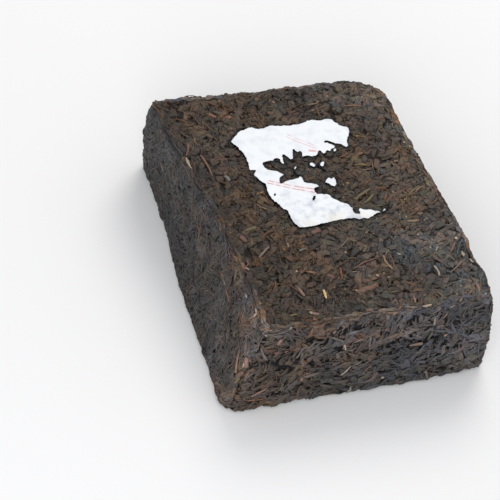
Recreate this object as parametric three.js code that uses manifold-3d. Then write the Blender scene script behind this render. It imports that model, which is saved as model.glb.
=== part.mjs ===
// Brick of dark tea leaves pressed hard into a block, with a torn paper ticket stuck on its top face.
// Millimetres, +Z up, +X along the short side, +Y along the long side.
// The origin is under the middle of the whole brick, on the flat face that it rests on.

import * as THREE from 'three';
import { mergeVertices } from 'three/addons/utils/BufferGeometryUtils.js';
import Module from 'manifold-3d';

// ---------- driving dimensions ----------

const brickLength = 140;               // top face, front edge to back edge
const brickWidth = 103.6;              // top face, left edge to right edge
const brickHeight = 41.9;
const sideDraft = 3.9;                 // each side leans out by this much at the base
const sideBelly = 1.0;                 // outward bow of each side at mid height
const footSpreadX = 12.2;              // front left foot squashed out to the left
const footSpreadY = 4.9;               // and to the front
const shoulderBulge = 8.0;             // left top edge bowed out towards the back
const topRadii = { frontLeft: 4.2, frontRight: 7.7, backRight: 14.6, backLeft: 4.2 };
const baseRadii = { frontLeft: 9.2, frontRight: 4.2, backRight: 9.8, backLeft: 4.3 };
const topArris = { inset: 0.9, fall: 0.7 };    // crumbled top edge
const baseArris = { inset: 1.4, rise: 1.2 };   // crumbled bottom edge

const faces = { acrossCells: 27, alongCells: 36, rows: 16 };   // facets of the block
const gridJitter = 0.25;               // shift of the top's grid points, as a share of a cell
const topRelief = { wave: 0.6, waveX: 9, waveY: 10, crumb: 0.6, crumbSize: 3.2 };
const sideRelief = {
  wave: 0.9, waveRun: 19, waveTurns: 2.2,
  layer: 0.9, layerRun: 17,
  crumb: 0.4, crumbRun: 3.4,
};

// Dark cracks between the pressed layers of the front face: run from and to, then the
// fraction of the height below the top edge, and how deep each one is.
const frontCracks = [
  { from: 3, to: 33, drop: 0.43, depth: 1.3 },
  { from: 29, to: 47, drop: 0.57, depth: 1.0 },
  { from: -54, to: -36, drop: 0.36, depth: 1.1 },
];
const crackHalfHeight = 2.4;

// Places where the edge has crumbled away.
const chips = [
  { x: 49, y: -45, radius: 9, depth: 1.9 },
  { x: 54, y: -62, radius: 7, depth: 1.3 },
  { x: -47, y: 62, radius: 8, depth: 1.2 },
];

// Larger leaves and stems that stand out of the surface.
const leafStrip = { count: 46, length: [8, 16], width: [2.6, 4.6], thickness: 1.3, lift: 0.35 };
const sideStrip = { count: 36, length: [10, 20], width: [2.2, 3.6], thickness: 1.3, lift: 0.3 };
const stem = { count: 10, length: [9, 17], width: [1.5, 2.0], thickness: 1.5, lift: 0.35 };
const stripSpans = 3;
const stripBend = 0.9;                 // most that a strip turns along its length, in radians
const wallTilt = 0.35;                 // spread of directions on the walls, in radians
const edgeClear = 9;                   // strips on the top keep this far from its edges
const paperClear = 9;                  // and their middles this far from the paper
const wallBand = { from: 3, to: 38 };  // depths below the top edge that wall strips lie in
const placingTries = 14;
const seed = 20;

// The ticket, its scraps and the smooth bed that they are pressed into.
const paperThickness = 0.3;
const paperGap = 0.3;                  // clearance between paper and tea
const paperCell = 4;
const scrapCell = 1.5;
const scrapUnevenness = 0.22;
const bed = { margin: 4.2, fade: 3, wave: 0.35, waveX: 12, waveY: 14 };
const ticketOutline = [
  [-31.5, 38.6], [-25.9, 44.5], [-21.1, 46.0], [-9.5, 46.0], [-2.5, 45.0], [10.0, 47.2],
  [18.7, 47.0], [25.1, 40.7], [23.4, 34.1], [20.3, 28.2], [16.4, 31.3], [10.6, 33.3],
  [11.4, 31.4], [15.2, 27.6], [10.3, 26.3], [6.9, 27.2], [4.9, 25.0], [-2.6, 24.5],
  [-3.2, 27.9], [-5.2, 29.0], [-6.9, 25.1], [-10.3, 26.8], [-12.3, 22.6], [-20.4, 23.8],
  [-21.8, 19.9], [-16.3, 16.6], [-18.0, 10.4], [-9.7, 11.6], [-4.9, 6.8], [-3.9, 1.4],
  [1.6, -0.2], [2.2, -3.1], [7.4, -7.1], [10.6, -12.8], [20.2, -14.3], [9.0, -16.9],
  [0.5, -15.6], [-12.0, -17.1], [-19.1, -17.2], [-20.8, -9.0], [-24.8, -0.6], [-25.6, 10.7],
  [-27.6, 17.0], [-29.0, 21.0], [-28.8, 30.8],
];
const scraps = [
  { name: 'paper_scrap_1', x: 0.7, y: 19.2, reach: [1.9, 1.3], corners: 7, turn: 0.4 },
  { name: 'paper_scrap_2', x: 5.1, y: 18.6, reach: [1.4, 1.5], corners: 6, turn: 1.1 },
  { name: 'paper_scrap_3', x: 4.6, y: 7.0, reach: [3.1, 2.5], corners: 9, turn: 2.1 },
];

const teaFinish = { color: 0x2e2724, roughness: 0.85, metalness: 0 };
const paperFinish = { color: 0xe6eaf2, roughness: 0.9, metalness: 0 };

// ---------- numbers and noise ----------

const wasm = await Module();
wasm.setup();

function seededRandom(start) {
  let state = start >>> 0;
  return () => {
    state = (state + 0x6d2b79f5) >>> 0;
    let mixed = Math.imul(state ^ (state >>> 15), state | 1);
    mixed ^= mixed + Math.imul(mixed ^ (mixed >>> 7), mixed | 61);
    return ((mixed ^ (mixed >>> 14)) >>> 0) / 4294967296;
  };
}

// A fixed value from -1 to 1 for each whole-number cell; the salt tells patterns apart.
function cellValue(i, j, salt) {
  const mixed = Math.imul(i, 73856093) ^ Math.imul(j, 19349663) ^ Math.imul(salt, 83492791);
  return seededRandom(mixed)() * 2 - 1;
}

// Smooth noise from -1 to 1: cell values blended along both directions.
function noise(u, v, salt) {
  const i = Math.floor(u);
  const j = Math.floor(v);
  const blendU = THREE.MathUtils.smoothstep(u - i, 0, 1);
  const blendV = THREE.MathUtils.smoothstep(v - j, 0, 1);
  const near = THREE.MathUtils.lerp(cellValue(i, j, salt), cellValue(i + 1, j, salt), blendU);
  const far = THREE.MathUtils.lerp(cellValue(i, j + 1, salt), cellValue(i + 1, j + 1, salt), blendU);
  return THREE.MathUtils.lerp(near, far, blendV);
}

// Slow, irregular waves from -1 to 1, a product of two bent sines.
function sway(u, v) {
  return Math.sin(u + 1.3 * Math.sin(0.9 * v + 0.4)) * Math.cos(1.1 * v - 0.7 * Math.sin(0.8 * u));
}

// ---------- form of the block, with the middle of its top face at x = y = 0 ----------

// across and along run from -1 to 1 over the square that the rounded outline is bent from;
// drop runs from 0 at the top face to 1 at the base.
function blockPoint(across, along, drop) {
  const lean = sideDraft * drop + sideBelly * 4 * drop * (1 - drop);
  const halfWidth = brickWidth / 2 + lean;
  const halfLength = brickLength / 2 + lean;
  const corner = (along < 0 ? 'front' : 'back') + (across < 0 ? 'Left' : 'Right');
  const radius = THREE.MathUtils.lerp(topRadii[corner], baseRadii[corner], drop);
  let x = Math.abs(across) * halfWidth;
  let y = Math.abs(along) * halfLength;
  const intoX = (x - halfWidth + radius) / radius;
  const intoY = (y - halfLength + radius) / radius;
  if (intoX > 0 && intoY > 0) {
    x = halfWidth - radius + radius * intoX * Math.sqrt(1 - intoY * intoY / 2);
    y = halfLength - radius + radius * intoY * Math.sqrt(1 - intoX * intoX / 2);
  }
  x *= Math.sign(across);
  y *= Math.sign(along);
  const left = 0.5 - x / (2 * halfWidth);
  const front = 0.5 - y / (2 * halfLength);
  const bulge = shoulderBulge * left * (1 - front) ** 2 * (1 - drop);
  return new THREE.Vector3(
    x - footSpreadX * left * front * drop - bulge,
    y - footSpreadY * left * front * drop,
    brickHeight * (1 - drop),
  );
}

// The walls unrolled: run is the distance from the front left corner, along the front,
// the right side, the back and the left side.
const rimLength = 2 * (brickWidth + brickLength);

function rimPlace(run) {
  const walls = [
    [brickWidth, (t) => [2 * t - 1, -1]],
    [brickLength, (t) => [1, 2 * t - 1]],
    [brickWidth, (t) => [1 - 2 * t, 1]],
    [brickLength, (t) => [-1, 1 - 2 * t]],
  ];
  let left = ((run % rimLength) + rimLength) % rimLength;
  for (const [length, place] of walls) {
    if (left <= length) return place(left / length);
    left -= length;
  }
  return [-1, -1];
}

function wallNormal(run, drop) {
  const reach = 1.5;
  const before = blockPoint(...rimPlace(run - reach), drop);
  const after = blockPoint(...rimPlace(run + reach), drop);
  return new THREE.Vector3(after.y - before.y, before.x - after.x, 0).normalize();
}

// ---------- relief ----------

function chipDepth(point) {
  let depth = 0;
  for (const chip of chips) {
    const away = Math.hypot(point.x - chip.x, point.y - chip.y, point.z - brickHeight) / chip.radius;
    depth = Math.max(depth, chip.depth * Math.max(0, 1 - away * away));
  }
  return depth;
}

function crackDepth(run, drop) {
  const x = run - brickWidth / 2;
  let depth = 0;
  for (const crack of frontCracks) {
    if (run > brickWidth || x < crack.from || x > crack.to) continue;
    const away = Math.abs(drop - crack.drop) * brickHeight;
    depth = Math.max(depth, crack.depth * Math.max(0, 1 - away / crackHalfHeight));
  }
  return depth;
}

// Outward height of a wall over the smooth block: slow waves, pressed layers that run along
// the wall, and crumbs; the cracks go the other way.
function wallHeight(run, drop) {
  const level = drop * faces.rows;
  const { wave, waveRun, waveTurns, layer, layerRun, crumb, crumbRun } = sideRelief;
  return wave * sway(run / waveRun, drop * waveTurns)
    + layer * noise(run / layerRun, level, 3)
    + crumb * noise(run / crumbRun, level, 4)
    - crackDepth(run, drop);
}

function outlineDistance(x, y, outline) {
  let nearest = Infinity;
  let inside = false;
  outline.forEach(([x1, y1], index) => {
    const [x2, y2] = outline[(index + 1) % outline.length];
    const t = ((x - x1) * (x2 - x1) + (y - y1) * (y2 - y1)) / ((x2 - x1) ** 2 + (y2 - y1) ** 2);
    const near = THREE.MathUtils.clamp(t, 0, 1);
    nearest = Math.min(nearest, Math.hypot(x - x1 - near * (x2 - x1), y - y1 - near * (y2 - y1)));
    if ((y1 > y) !== (y2 > y) && x < x1 + (x2 - x1) * (y - y1) / (y2 - y1)) inside = !inside;
  });
  return inside ? -nearest : nearest;
}

function paperDistance(x, y) {
  let distance = outlineDistance(x, y, ticketOutline);
  for (const scrap of scraps) {
    distance = Math.min(distance, Math.hypot(x - scrap.x, y - scrap.y) - Math.max(...scrap.reach));
  }
  return distance;
}

// Height of the paper's underside over the top plane.
function bedHeight(x, y) {
  return bed.wave * sway(x / bed.waveX, y / bed.waveY);
}

function topHeight(x, y) {
  const { wave, waveX, waveY, crumb, crumbSize } = topRelief;
  const open = wave * sway(x / waveX, y / waveY) + crumb * noise(x / crumbSize, y / crumbSize, 1);
  const pressed = THREE.MathUtils.smoothstep(bed.margin + bed.fade - paperDistance(x, y), 0, bed.fade);
  return THREE.MathUtils.lerp(open, bedHeight(x, y) - paperGap, pressed);
}

function topPoint(across, along) {
  const point = blockPoint(across, along, 0);
  point.z += topHeight(point.x, point.y) - chipDepth(point);
  return point;
}

function wallPoint(run, drop) {
  const [across, along] = rimPlace(run);
  const point = drop === 0 ? topPoint(across, along) : blockPoint(across, along, drop);
  let outward = wallHeight(run, drop) - chipDepth(point);
  if (drop === 0) {
    outward -= topArris.inset;
    point.z -= topArris.fall;
  }
  if (drop === 1) outward -= baseArris.inset;
  return point.addScaledVector(wallNormal(run, drop), outward);
}

// ---------- the pressed block ----------

// Fractions of the height at which the rows of facets lie: the last but one is the top of
// the crumbled bottom edge.
function rowDrops() {
  const drops = [0];
  const last = 1 - baseArris.rise / brickHeight;
  for (let row = 1; row < faces.rows; row += 1) drops.push(last * row / (faces.rows - 1));
  drops.push(1);
  return drops;
}

function pressedBlock() {
  const { acrossCells, alongCells } = faces;
  const points = [];
  const triangles = [];
  const addPoint = (point) => points.push(point.x, point.y, point.z) / 3 - 1;
  const addQuad = (a, b, c, d) => triangles.push(a, b, c, a, c, d);

  // Runs of the rim, in the order of the grid's edge cells.
  const runs = [];
  for (const [length, cells] of [[brickWidth, acrossCells], [brickLength, alongCells],
    [brickWidth, acrossCells], [brickLength, alongCells]]) {
    const start = runs.length ? runs[runs.length - 1].end : 0;
    for (let cell = 0; cell < cells; cell += 1) {
      runs.push({ at: start + length * cell / cells, end: start + length });
    }
  }
  const rings = rowDrops().map((drop) => runs.map(({ at }) => addPoint(wallPoint(at, drop))));

  // Top face: the inner grid points, with the first ring as its edge.
  const [rim] = rings;
  const topIndex = (i, j) => {
    if (j === 0) return rim[i];
    if (i === acrossCells) return rim[acrossCells + j];
    if (j === alongCells) return rim[2 * acrossCells + alongCells - i];
    if (i === 0) return rim[(2 * (acrossCells + alongCells) - j) % rim.length];
    return inner[(j - 1) * (acrossCells - 1) + i - 1];
  };
  const inner = [];
  for (let j = 1; j < alongCells; j += 1) {
    for (let i = 1; i < acrossCells; i += 1) {
      const across = (i + gridJitter * cellValue(i, j, 5)) / acrossCells;
      const along = (j + gridJitter * cellValue(i, j, 6)) / alongCells;
      inner.push(addPoint(topPoint(2 * across - 1, 2 * along - 1)));
    }
  }
  for (let j = 0; j < alongCells; j += 1) {
    for (let i = 0; i < acrossCells; i += 1) {
      addQuad(topIndex(i, j), topIndex(i + 1, j), topIndex(i + 1, j + 1), topIndex(i, j + 1));
    }
  }

  // Walls.
  for (let row = 0; row + 1 < rings.length; row += 1) {
    rim.forEach((_, index) => {
      const next = (index + 1) % rim.length;
      addQuad(rings[row][next], rings[row][index], rings[row + 1][index], rings[row + 1][next]);
    });
  }

  // Flat base, cut into triangles from its own outline.
  const base = rings[rings.length - 1];
  const outline = base.map((index) => new THREE.Vector2(points[3 * index], points[3 * index + 1]));
  for (const [a, b, c] of THREE.ShapeUtils.triangulateShape(outline, [])) {
    triangles.push(base[a], base[c], base[b]);
  }
  return indexedGeometry(points, triangles);
}

function indexedGeometry(points, triangles) {
  const geometry = new THREE.BufferGeometry();
  geometry.setAttribute('position', new THREE.Float32BufferAttribute(points, 3));
  geometry.setIndex(triangles);
  return geometry;
}

// ---------- leaves and stems that stand out ----------

// A strip with a flat diamond section, pointed at both ends, along a list of stations that
// each hold a point, a direction across and a direction out of the surface.
function stripGeometry(stations, width, thickness) {
  const points = [];
  const triangles = [];
  const push = (point) => points.push(point.x, point.y, point.z) / 3 - 1;
  const sections = stations.slice(1, -1).map(({ point, sideways, outward }, index, all) => {
    const fullness = Math.sin(Math.PI * (index + 0.8) / (all.length + 0.6));
    const half = width / 2 * fullness;
    return [
      push(point.clone().addScaledVector(sideways, half)),
      push(point.clone().addScaledVector(outward, thickness / 2)),
      push(point.clone().addScaledVector(sideways, -half)),
      push(point.clone().addScaledVector(outward, -thickness / 2)),
    ];
  });
  const first = push(stations[0].point);
  const last = push(stations[stations.length - 1].point);
  for (let side = 0; side < 4; side += 1) {
    const next = (side + 1) % 4;
    triangles.push(first, sections[0][next], sections[0][side]);
    for (let index = 0; index + 1 < sections.length; index += 1) {
      const [a, b] = [sections[index], sections[index + 1]];
      triangles.push(a[side], a[next], b[next], a[side], b[next], b[side]);
    }
    triangles.push(last, sections[sections.length - 1][side], sections[sections.length - 1][next]);
  }
  return indexedGeometry(points, triangles);
}

// Even but irregular places: each new one is the farthest of a few draws from those before.
function spreadPlaces(count, draw, random) {
  const places = [];
  while (places.length < count) {
    let best = null;
    for (let attempt = 0; attempt < placingTries; attempt += 1) {
      const place = draw(random);
      const distances = places.map((other) => Math.hypot(place.u - other.u, place.v - other.v));
      place.room = Math.min(1000, ...distances);
      if (!best || place.room > best.room) best = place;
    }
    places.push(best);
  }
  return places;
}

// Stations of one strip, bent a little, on a surface given by surface(u, v).
function stripStationsOn(surface, place, shape, random) {
  const length = THREE.MathUtils.lerp(...shape.length, random());
  const bend = (random() - 0.5) * stripBend;
  const stations = [];
  for (let index = 0; index <= stripSpans; index += 1) {
    const t = index / stripSpans - 0.5;
    const angle = place.angle + bend * t;
    const u = place.u + length * t * Math.cos(angle);
    const v = place.v + length * t * Math.sin(angle);
    const { point, outward } = surface(u, v);
    const ahead = surface(u + Math.cos(angle), v + Math.sin(angle)).point;
    const forward = ahead.sub(point).normalize();
    const sideways = new THREE.Vector3().crossVectors(outward, forward).normalize();
    point.addScaledVector(outward, shape.lift * Math.cos(Math.PI * t));
    stations.push({ point, sideways, outward });
  }
  return stations;
}

function onTop(u, v) {
  const point = new THREE.Vector3(u, v, brickHeight);
  point.z += topHeight(u, v) - chipDepth(point);
  return { point, outward: new THREE.Vector3(0, 0, 1) };
}

function onWall(u, v) {
  const drop = THREE.MathUtils.clamp(v / brickHeight, 0.03, 0.97);
  return { point: wallPoint(u, drop), outward: wallNormal(u, drop) };
}

function standingLeaves() {
  const random = seededRandom(seed);
  const reachX = brickWidth / 2 - edgeClear;
  const reachY = brickLength / 2 - edgeClear;
  const drawTop = () => {
    const place = { u: 0, v: 0, angle: random() * Math.PI };
    do {
      place.u = reachX * (2 * random() - 1);
      place.v = reachY * (2 * random() - 1);
    } while (paperDistance(place.u, place.v) < paperClear);
    return place;
  };
  const drawWall = () => ({
    u: rimLength * random(),
    v: THREE.MathUtils.lerp(wallBand.from, wallBand.to, random()),
    angle: (random() - 0.5) * wallTilt,
  });
  const groups = [
    [leafStrip, spreadPlaces(leafStrip.count, drawTop, random), onTop],
    [sideStrip, spreadPlaces(sideStrip.count, drawWall, random), onWall],
    [stem, spreadPlaces(stem.count, drawWall, random), onWall],
  ];
  return groups.flatMap(([shape, places, surface]) => places.map((place) => {
    const stations = stripStationsOn(surface, place, shape, random);
    return stripGeometry(stations, THREE.MathUtils.lerp(...shape.width, random()), shape.thickness);
  }));
}

// ---------- solids ----------

function toSolid(geometry) {
  const bare = geometry.clone();
  bare.deleteAttribute('normal');
  bare.deleteAttribute('uv');
  const merged = mergeVertices(bare, 1e-4);
  return new wasm.Manifold(new wasm.Mesh({
    numProp: 3,
    vertProperties: Float32Array.from(merged.attributes.position.array),
    triVerts: Uint32Array.from(merged.index.array),
  }));
}

function toGeometry(solid) {
  const { vertProperties, triVerts, numProp } = solid.getMesh();
  const points = [];
  for (let at = 0; at < vertProperties.length; at += numProp) {
    points.push(...vertProperties.slice(at, at + 3));
  }
  return indexedGeometry(points, Array.from(triVerts));
}

// Fusing can leave a loose crumb or a sealed hollow; only the body itself is kept.
function largestBody(solid) {
  return solid.decompose().reduce((best, body) => (body.volume() > best.volume() ? body : best));
}

function teaBrick() {
  let brick = toSolid(pressedBlock());
  for (const leaf of standingLeaves()) brick = brick.add(toSolid(leaf));
  return toGeometry(largestBody(brick));
}

// A thin sheet over a rectangle, with both faces cut into the same triangles.
function wavySheet(lowX, lowY, highX, highY, cell) {
  const cellsX = Math.ceil((highX - lowX) / cell);
  const cellsY = Math.ceil((highY - lowY) / cell);
  const points = [];
  const triangles = [];
  const layer = (cellsX + 1) * (cellsY + 1);
  for (const lift of [0, paperThickness]) {
    for (let j = 0; j <= cellsY; j += 1) {
      for (let i = 0; i <= cellsX; i += 1) {
        const x = lowX + (highX - lowX) * i / cellsX;
        const y = lowY + (highY - lowY) * j / cellsY;
        points.push(x, y, brickHeight + bedHeight(x, y) + lift);
      }
    }
  }
  const at = (i, j) => j * (cellsX + 1) + i;
  for (let j = 0; j < cellsY; j += 1) {
    for (let i = 0; i < cellsX; i += 1) {
      const [a, b, c, d] = [at(i, j), at(i + 1, j), at(i + 1, j + 1), at(i, j + 1)];
      triangles.push(a, c, b, a, d, c);
      triangles.push(layer + a, layer + b, layer + c, layer + a, layer + c, layer + d);
    }
  }
  const rim = [];
  for (let i = 0; i < cellsX; i += 1) rim.push(at(i, 0));
  for (let j = 0; j < cellsY; j += 1) rim.push(at(cellsX, j));
  for (let i = cellsX; i > 0; i -= 1) rim.push(at(i, cellsY));
  for (let j = cellsY; j > 0; j -= 1) rim.push(at(0, j));
  rim.forEach((here, index) => {
    const next = rim[(index + 1) % rim.length];
    triangles.push(here, next, layer + next, here, layer + next, layer + here);
  });
  return indexedGeometry(points, triangles);
}

// Paper torn to an outline: the wavy sheet cut by a prism over the outline.
function tornPaper(outline, cell) {
  const xs = outline.map(([x]) => x);
  const ys = outline.map(([, y]) => y);
  const edge = 1;
  const sheet = wavySheet(Math.min(...xs) - edge, Math.min(...ys) - edge,
    Math.max(...xs) + edge, Math.max(...ys) + edge, cell);
  const prism = new THREE.ExtrudeGeometry(
    new THREE.Shape(outline.map(([x, y]) => new THREE.Vector2(x, y))),
    { depth: brickHeight, bevelEnabled: false },
  ).translate(0, 0, brickHeight / 2);
  return toGeometry(largestBody(toSolid(sheet).intersect(toSolid(prism))));
}

// A scrap's outline: a ring of corners at uneven distances from its middle.
function scrapOutline({ x, y, reach, corners, turn }) {
  const outline = [];
  for (let corner = 0; corner < corners; corner += 1) {
    const angle = 2 * Math.PI * corner / corners;
    const size = 1 - scrapUnevenness * (1 + Math.cos(3 * corner + turn)) / 2;
    outline.push([
      x + reach[0] * size * Math.cos(angle),
      y + reach[1] * size * Math.sin(angle),
    ]);
  }
  return outline;
}

// ---------- the object ----------

function namedMesh(name, geometry, finish) {
  const mesh = new THREE.Mesh(geometry, new THREE.MeshStandardMaterial(finish));
  mesh.name = name;
  return mesh;
}

const teaBrickWithTicket = new THREE.Group();
teaBrickWithTicket.add(namedMesh('tea_brick', teaBrick(), teaFinish));
teaBrickWithTicket.add(namedMesh('paper_ticket', tornPaper(ticketOutline, paperCell), paperFinish));
for (const scrap of scraps) {
  teaBrickWithTicket.add(namedMesh(scrap.name, tornPaper(scrapOutline(scrap), scrapCell), paperFinish));
}

// The origin goes under the middle of the brick's outer box.
const outerBox = new THREE.Box3().setFromObject(teaBrickWithTicket);
const middle = outerBox.getCenter(new THREE.Vector3());
teaBrickWithTicket.position.set(-middle.x, -middle.y, -outerBox.min.z);

export default teaBrickWithTicket;
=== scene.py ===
# A brick of dark tea leaves pressed hard into a block, with a torn paper ticket on its top face.
import bpy
import math
import numpy as np
from mathutils import Matrix, Vector


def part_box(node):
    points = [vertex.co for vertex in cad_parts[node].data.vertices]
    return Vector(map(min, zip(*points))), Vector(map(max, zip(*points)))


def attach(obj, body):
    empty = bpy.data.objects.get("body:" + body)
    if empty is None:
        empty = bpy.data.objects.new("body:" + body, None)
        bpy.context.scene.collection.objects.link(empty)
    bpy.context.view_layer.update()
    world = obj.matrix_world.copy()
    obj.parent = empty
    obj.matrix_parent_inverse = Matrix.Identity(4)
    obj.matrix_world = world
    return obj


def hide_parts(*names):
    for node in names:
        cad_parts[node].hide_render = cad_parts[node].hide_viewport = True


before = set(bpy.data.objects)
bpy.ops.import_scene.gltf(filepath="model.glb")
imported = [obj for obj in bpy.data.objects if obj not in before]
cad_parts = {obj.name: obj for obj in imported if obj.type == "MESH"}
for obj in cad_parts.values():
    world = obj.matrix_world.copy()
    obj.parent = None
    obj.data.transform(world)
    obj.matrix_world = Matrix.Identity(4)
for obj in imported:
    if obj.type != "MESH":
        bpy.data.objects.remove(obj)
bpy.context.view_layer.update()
mm = 0.001
print("frame loaded")

# The block's form, in millimetres, with the middle of the top face at x = y = 0 and the base at z = 0.
blockForm = {
    "width": 103.6, "length": 140.0, "height": 41.9,
    "lean": 3.9,                 # each side leans out by this much at the base
    "belly": 1.0,                # outward bow of each side at mid height
    "footSpread": (12.2, 4.9),   # front left foot squashed out, to the left and to the front
    "shoulder": 8.0,             # left top edge bowed out towards the back
    "topRadii": (4.2, 7.7, 14.6, 4.2),    # front left, front right, back right, back left
    "baseRadii": (9.2, 4.2, 9.8, 4.3),
}
relief = {
    "topWave": (0.6, 9, 10), "topCrumb": (0.6, 3.2),     # height, then sizes
    "wallWave": (0.9, 19, 2.2), "wallLayer": ((0.55, 0.15), 17), "wallCrumb": (0.4, 3.4), "layers": 16,
    "clump": ((0.9, 0.2), 3.8),      # amount on the ends and on the long sides, size
    "bedWave": (0.35, 12, 14), "bedDepth": 0.3, "bedMargin": 4.2, "bedFade": 3,
    "cracks": ((3, 33, 0.43, 1.3), (29, 47, 0.57, 1.0), (-54, -36, 0.36, 1.1)),   # from, to, drop, depth
    "crackHalfHeight": 2.4,
    "endFade": (99, 109, 238, 249, 341, 352),     # places round the walls where the ends' relief fades
    "chips": ((49, -45, 9, 1.9), (54, -62, 7, 1.3), (-47, 62, 8, 1.2)),           # x, y, radius, depth
}
rimStops = np.cumsum([0, blockForm["width"], blockForm["length"], blockForm["width"], blockForm["length"]])

# Torn outline of the ticket on the face before its shoulder is bowed out: clockwise from the left tip round
# the outside to the right tip, back round the hole, then round the lower part.
ticketOutline = [
    (-27.8, 38.6), (-26.3, 40.2), (-25, 41.3), (-23.3, 42.9), (-21.4, 44.6), (-20, 45), (-18.3, 45.4),
    (-16.9, 45.9), (-15.2, 46.1), (-14, 45.2), (-12.6, 44.9), (-10.4, 44.8), (-9.4, 45.5), (-7.6, 46.1),
    (-6.1, 46.1), (-5, 45.4), (-2.9, 45.2), (-0.4, 45.2), (1.2, 45.1), (3.5, 45.5), (6, 45.5), (8.1, 46.1),
    (10.1, 46.8), (12.1, 47.3), (13.5, 47.3), (15.1, 46.8), (17.1, 46.7), (18.9, 47.1), (20.6, 47.2),
    (21.7, 46.4), (21.9, 45.2), (23.1, 44.1), (23.5, 42.7), (24.9, 41.4), (26.4, 40.9), (26.7, 39.6),
    (26.4, 37.9), (25.6, 36.1), (25.1, 34.8), (23.9, 33.7), (23, 32.1), (22.4, 30.5), (22.4, 28.9),
    (21.5, 28), (20.3, 28.7), (19.4, 30), (17.8, 30.7), (16.2, 32), (15.1, 33), (13.9, 33.6), (12.8, 33),
    (12.4, 32.1), (13.9, 32.1), (14.8, 31.1), (15.8, 30), (16.4, 28.9), (15.1, 27.9), (14.2, 27.7),
    (12.8, 26.4), (12.1, 27.5), (11.4, 26.8), (10.3, 25.7), (9.4, 25.4), (9, 27.1), (8.5, 27.9),
    (7.6, 26.8), (6.7, 25.4), (5.6, 24.6), (3.5, 24.1), (2.4, 25), (0.3, 25), (-0.4, 24.8), (-0.1, 26.1),
    (0.5, 27.9), (-0.4, 28.6), (-1.1, 28), (-1.9, 28.9), (-2.4, 30.2), (-3.1, 29.6), (-3.8, 27.9),
    (-4.5, 25.7), (-5, 24.3), (-6.1, 23.4), (-6.7, 24.3), (-7, 25.7), (-7.6, 27), (-8.5, 27.5),
    (-9.2, 26.4), (-9.4, 25), (-9.7, 23.2), (-10.2, 21.6), (-10.8, 22.5), (-11.1, 23.6), (-10.8, 25.2),
    (-11.9, 25.7), (-13.3, 25.2), (-14.5, 24.1), (-16.1, 24.3), (-17.9, 23.8), (-19.4, 23.2),
    (-19.7, 22.3), (-19.5, 20.4), (-18.6, 18.9), (-16.9, 18.2), (-15.4, 17.7), (-14.2, 16.8),
    (-13.3, 15.4), (-12.9, 15), (-14.4, 14.1), (-15.8, 13), (-16.3, 11.6), (-16.5, 9.6), (-15.1, 10),
    (-13.6, 10.7), (-11.9, 11.4), (-9.7, 11.6), (-7.8, 11.6), (-6.7, 12.5), (-6, 12.1), (-6, 10.3),
    (-6.1, 8.9), (-4.4, 8.2), (-2.2, 7.6), (-1, 6.6), (-0.6, 5.3), (-1.9, 4.6), (-3.3, 3.9), (-3.6, 2.6),
    (-2.9, 1.2), (-0.8, 0.7), (1.2, 0.3), (2.4, -0.6), (2.4, -2.4), (3.5, -3.8), (4.6, -5.6), (6.4, -6.5),
    (7.6, -6.8), (8.1, -8.4), (8.9, -9.7), (8.7, -11.6), (9.2, -13), (11.2, -13.4), (11.7, -12.4),
    (11.5, -10.9), (12.4, -10.4), (14.2, -11.3), (16, -11.8), (18.1, -12.5), (19.9, -13.2), (20.6, -13.8),
    (18.9, -14.3), (17.1, -15), (15.3, -15.9), (13.5, -16.6), (12.1, -15.9), (10.6, -16.6), (9.4, -17),
    (8.5, -16.1), (7.4, -15.4), (4.9, -15.4), (1.7, -15.4), (-1.9, -15.6), (-4.7, -16.1), (-7.6, -16.5),
    (-10.4, -16.8), (-13.3, -17.2), (-16.1, -17.3), (-18.3, -17), (-18.6, -16.3), (-19.5, -14.1),
    (-19.7, -11.6), (-19.7, -9.5), (-19.5, -7), (-19.9, -5.6), (-20.8, -5.2), (-21.1, -3.8), (-21.7, -2),
    (-22.4, -0.9), (-23.3, -0.4), (-23.6, 1.9), (-23.8, 4.4), (-23.6, 7.3), (-23.3, 9.4), (-23.1, 10.5),
    (-23.6, 11.6), (-24.5, 13.4), (-25.1, 15), (-25.6, 16.4), (-25.4, 17), (-24.6, 18.4), (-23.8, 19.3),
    (-25.1, 20), (-26.3, 20.1), (-26.1, 21.8), (-25.6, 25), (-25.4, 27.9), (-25.4, 30), (-25.8, 32.1),
    (-26.3, 34.3), (-27, 36.1), (-27.6, 37.5),
]
scrapOutlines = {
    "paper_scrap_1": [
        (0.9, 19.7), (1.5, 20.4), (2.4, 20.5), (3, 19.8), (3.1, 18.9), (2.5, 17.9), (1.9, 17.7),
        (1.7, 18.4), (1, 18.8)],
    "paper_scrap_2": [
        (5.2, 18), (5.5, 19), (6.2, 19.8), (7.1, 20.2), (7.7, 19.9), (7.2, 19), (6.6, 17.9), (5.7, 17.3)],
    "paper_scrap_3": [
        (3.1, 7.3), (4, 8.4), (5.1, 9.4), (5.8, 9.6), (6.2, 8.5), (7.2, 9.2), (8.1, 9.6), (8, 7.3),
        (7.6, 5.5), (6.2, 3.9), (4.9, 4.8), (4.2, 6.2)],
}
specks = {
    "paperSpeckTip": [(21.9, -13.6), (22.4, -12.7), (23.4, -12.2), (23.2, -13.1)],
    "paperSpeckFlap": [(14.4, 26), (14.7, 26.9), (15.6, 27.7), (16.3, 27.5), (15.7, 26.4), (15, 25.7)],
    "paperSpeckHole": [(-7.1, 17.6), (-6.7, 18.5), (-6, 19.2), (-5.7, 18.7), (-6.3, 17.7)],
}


def bowed(outline):
    # face coordinates carried out by the shoulder, as the block's own points are
    flat = np.array(outline, float)
    left, front = 0.5 - flat[:, 0] / blockForm["width"], 0.5 - flat[:, 1] / blockForm["length"]
    flat[:, 0] -= blockForm["shoulder"] * left * (1 - front) ** 2
    return flat


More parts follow.
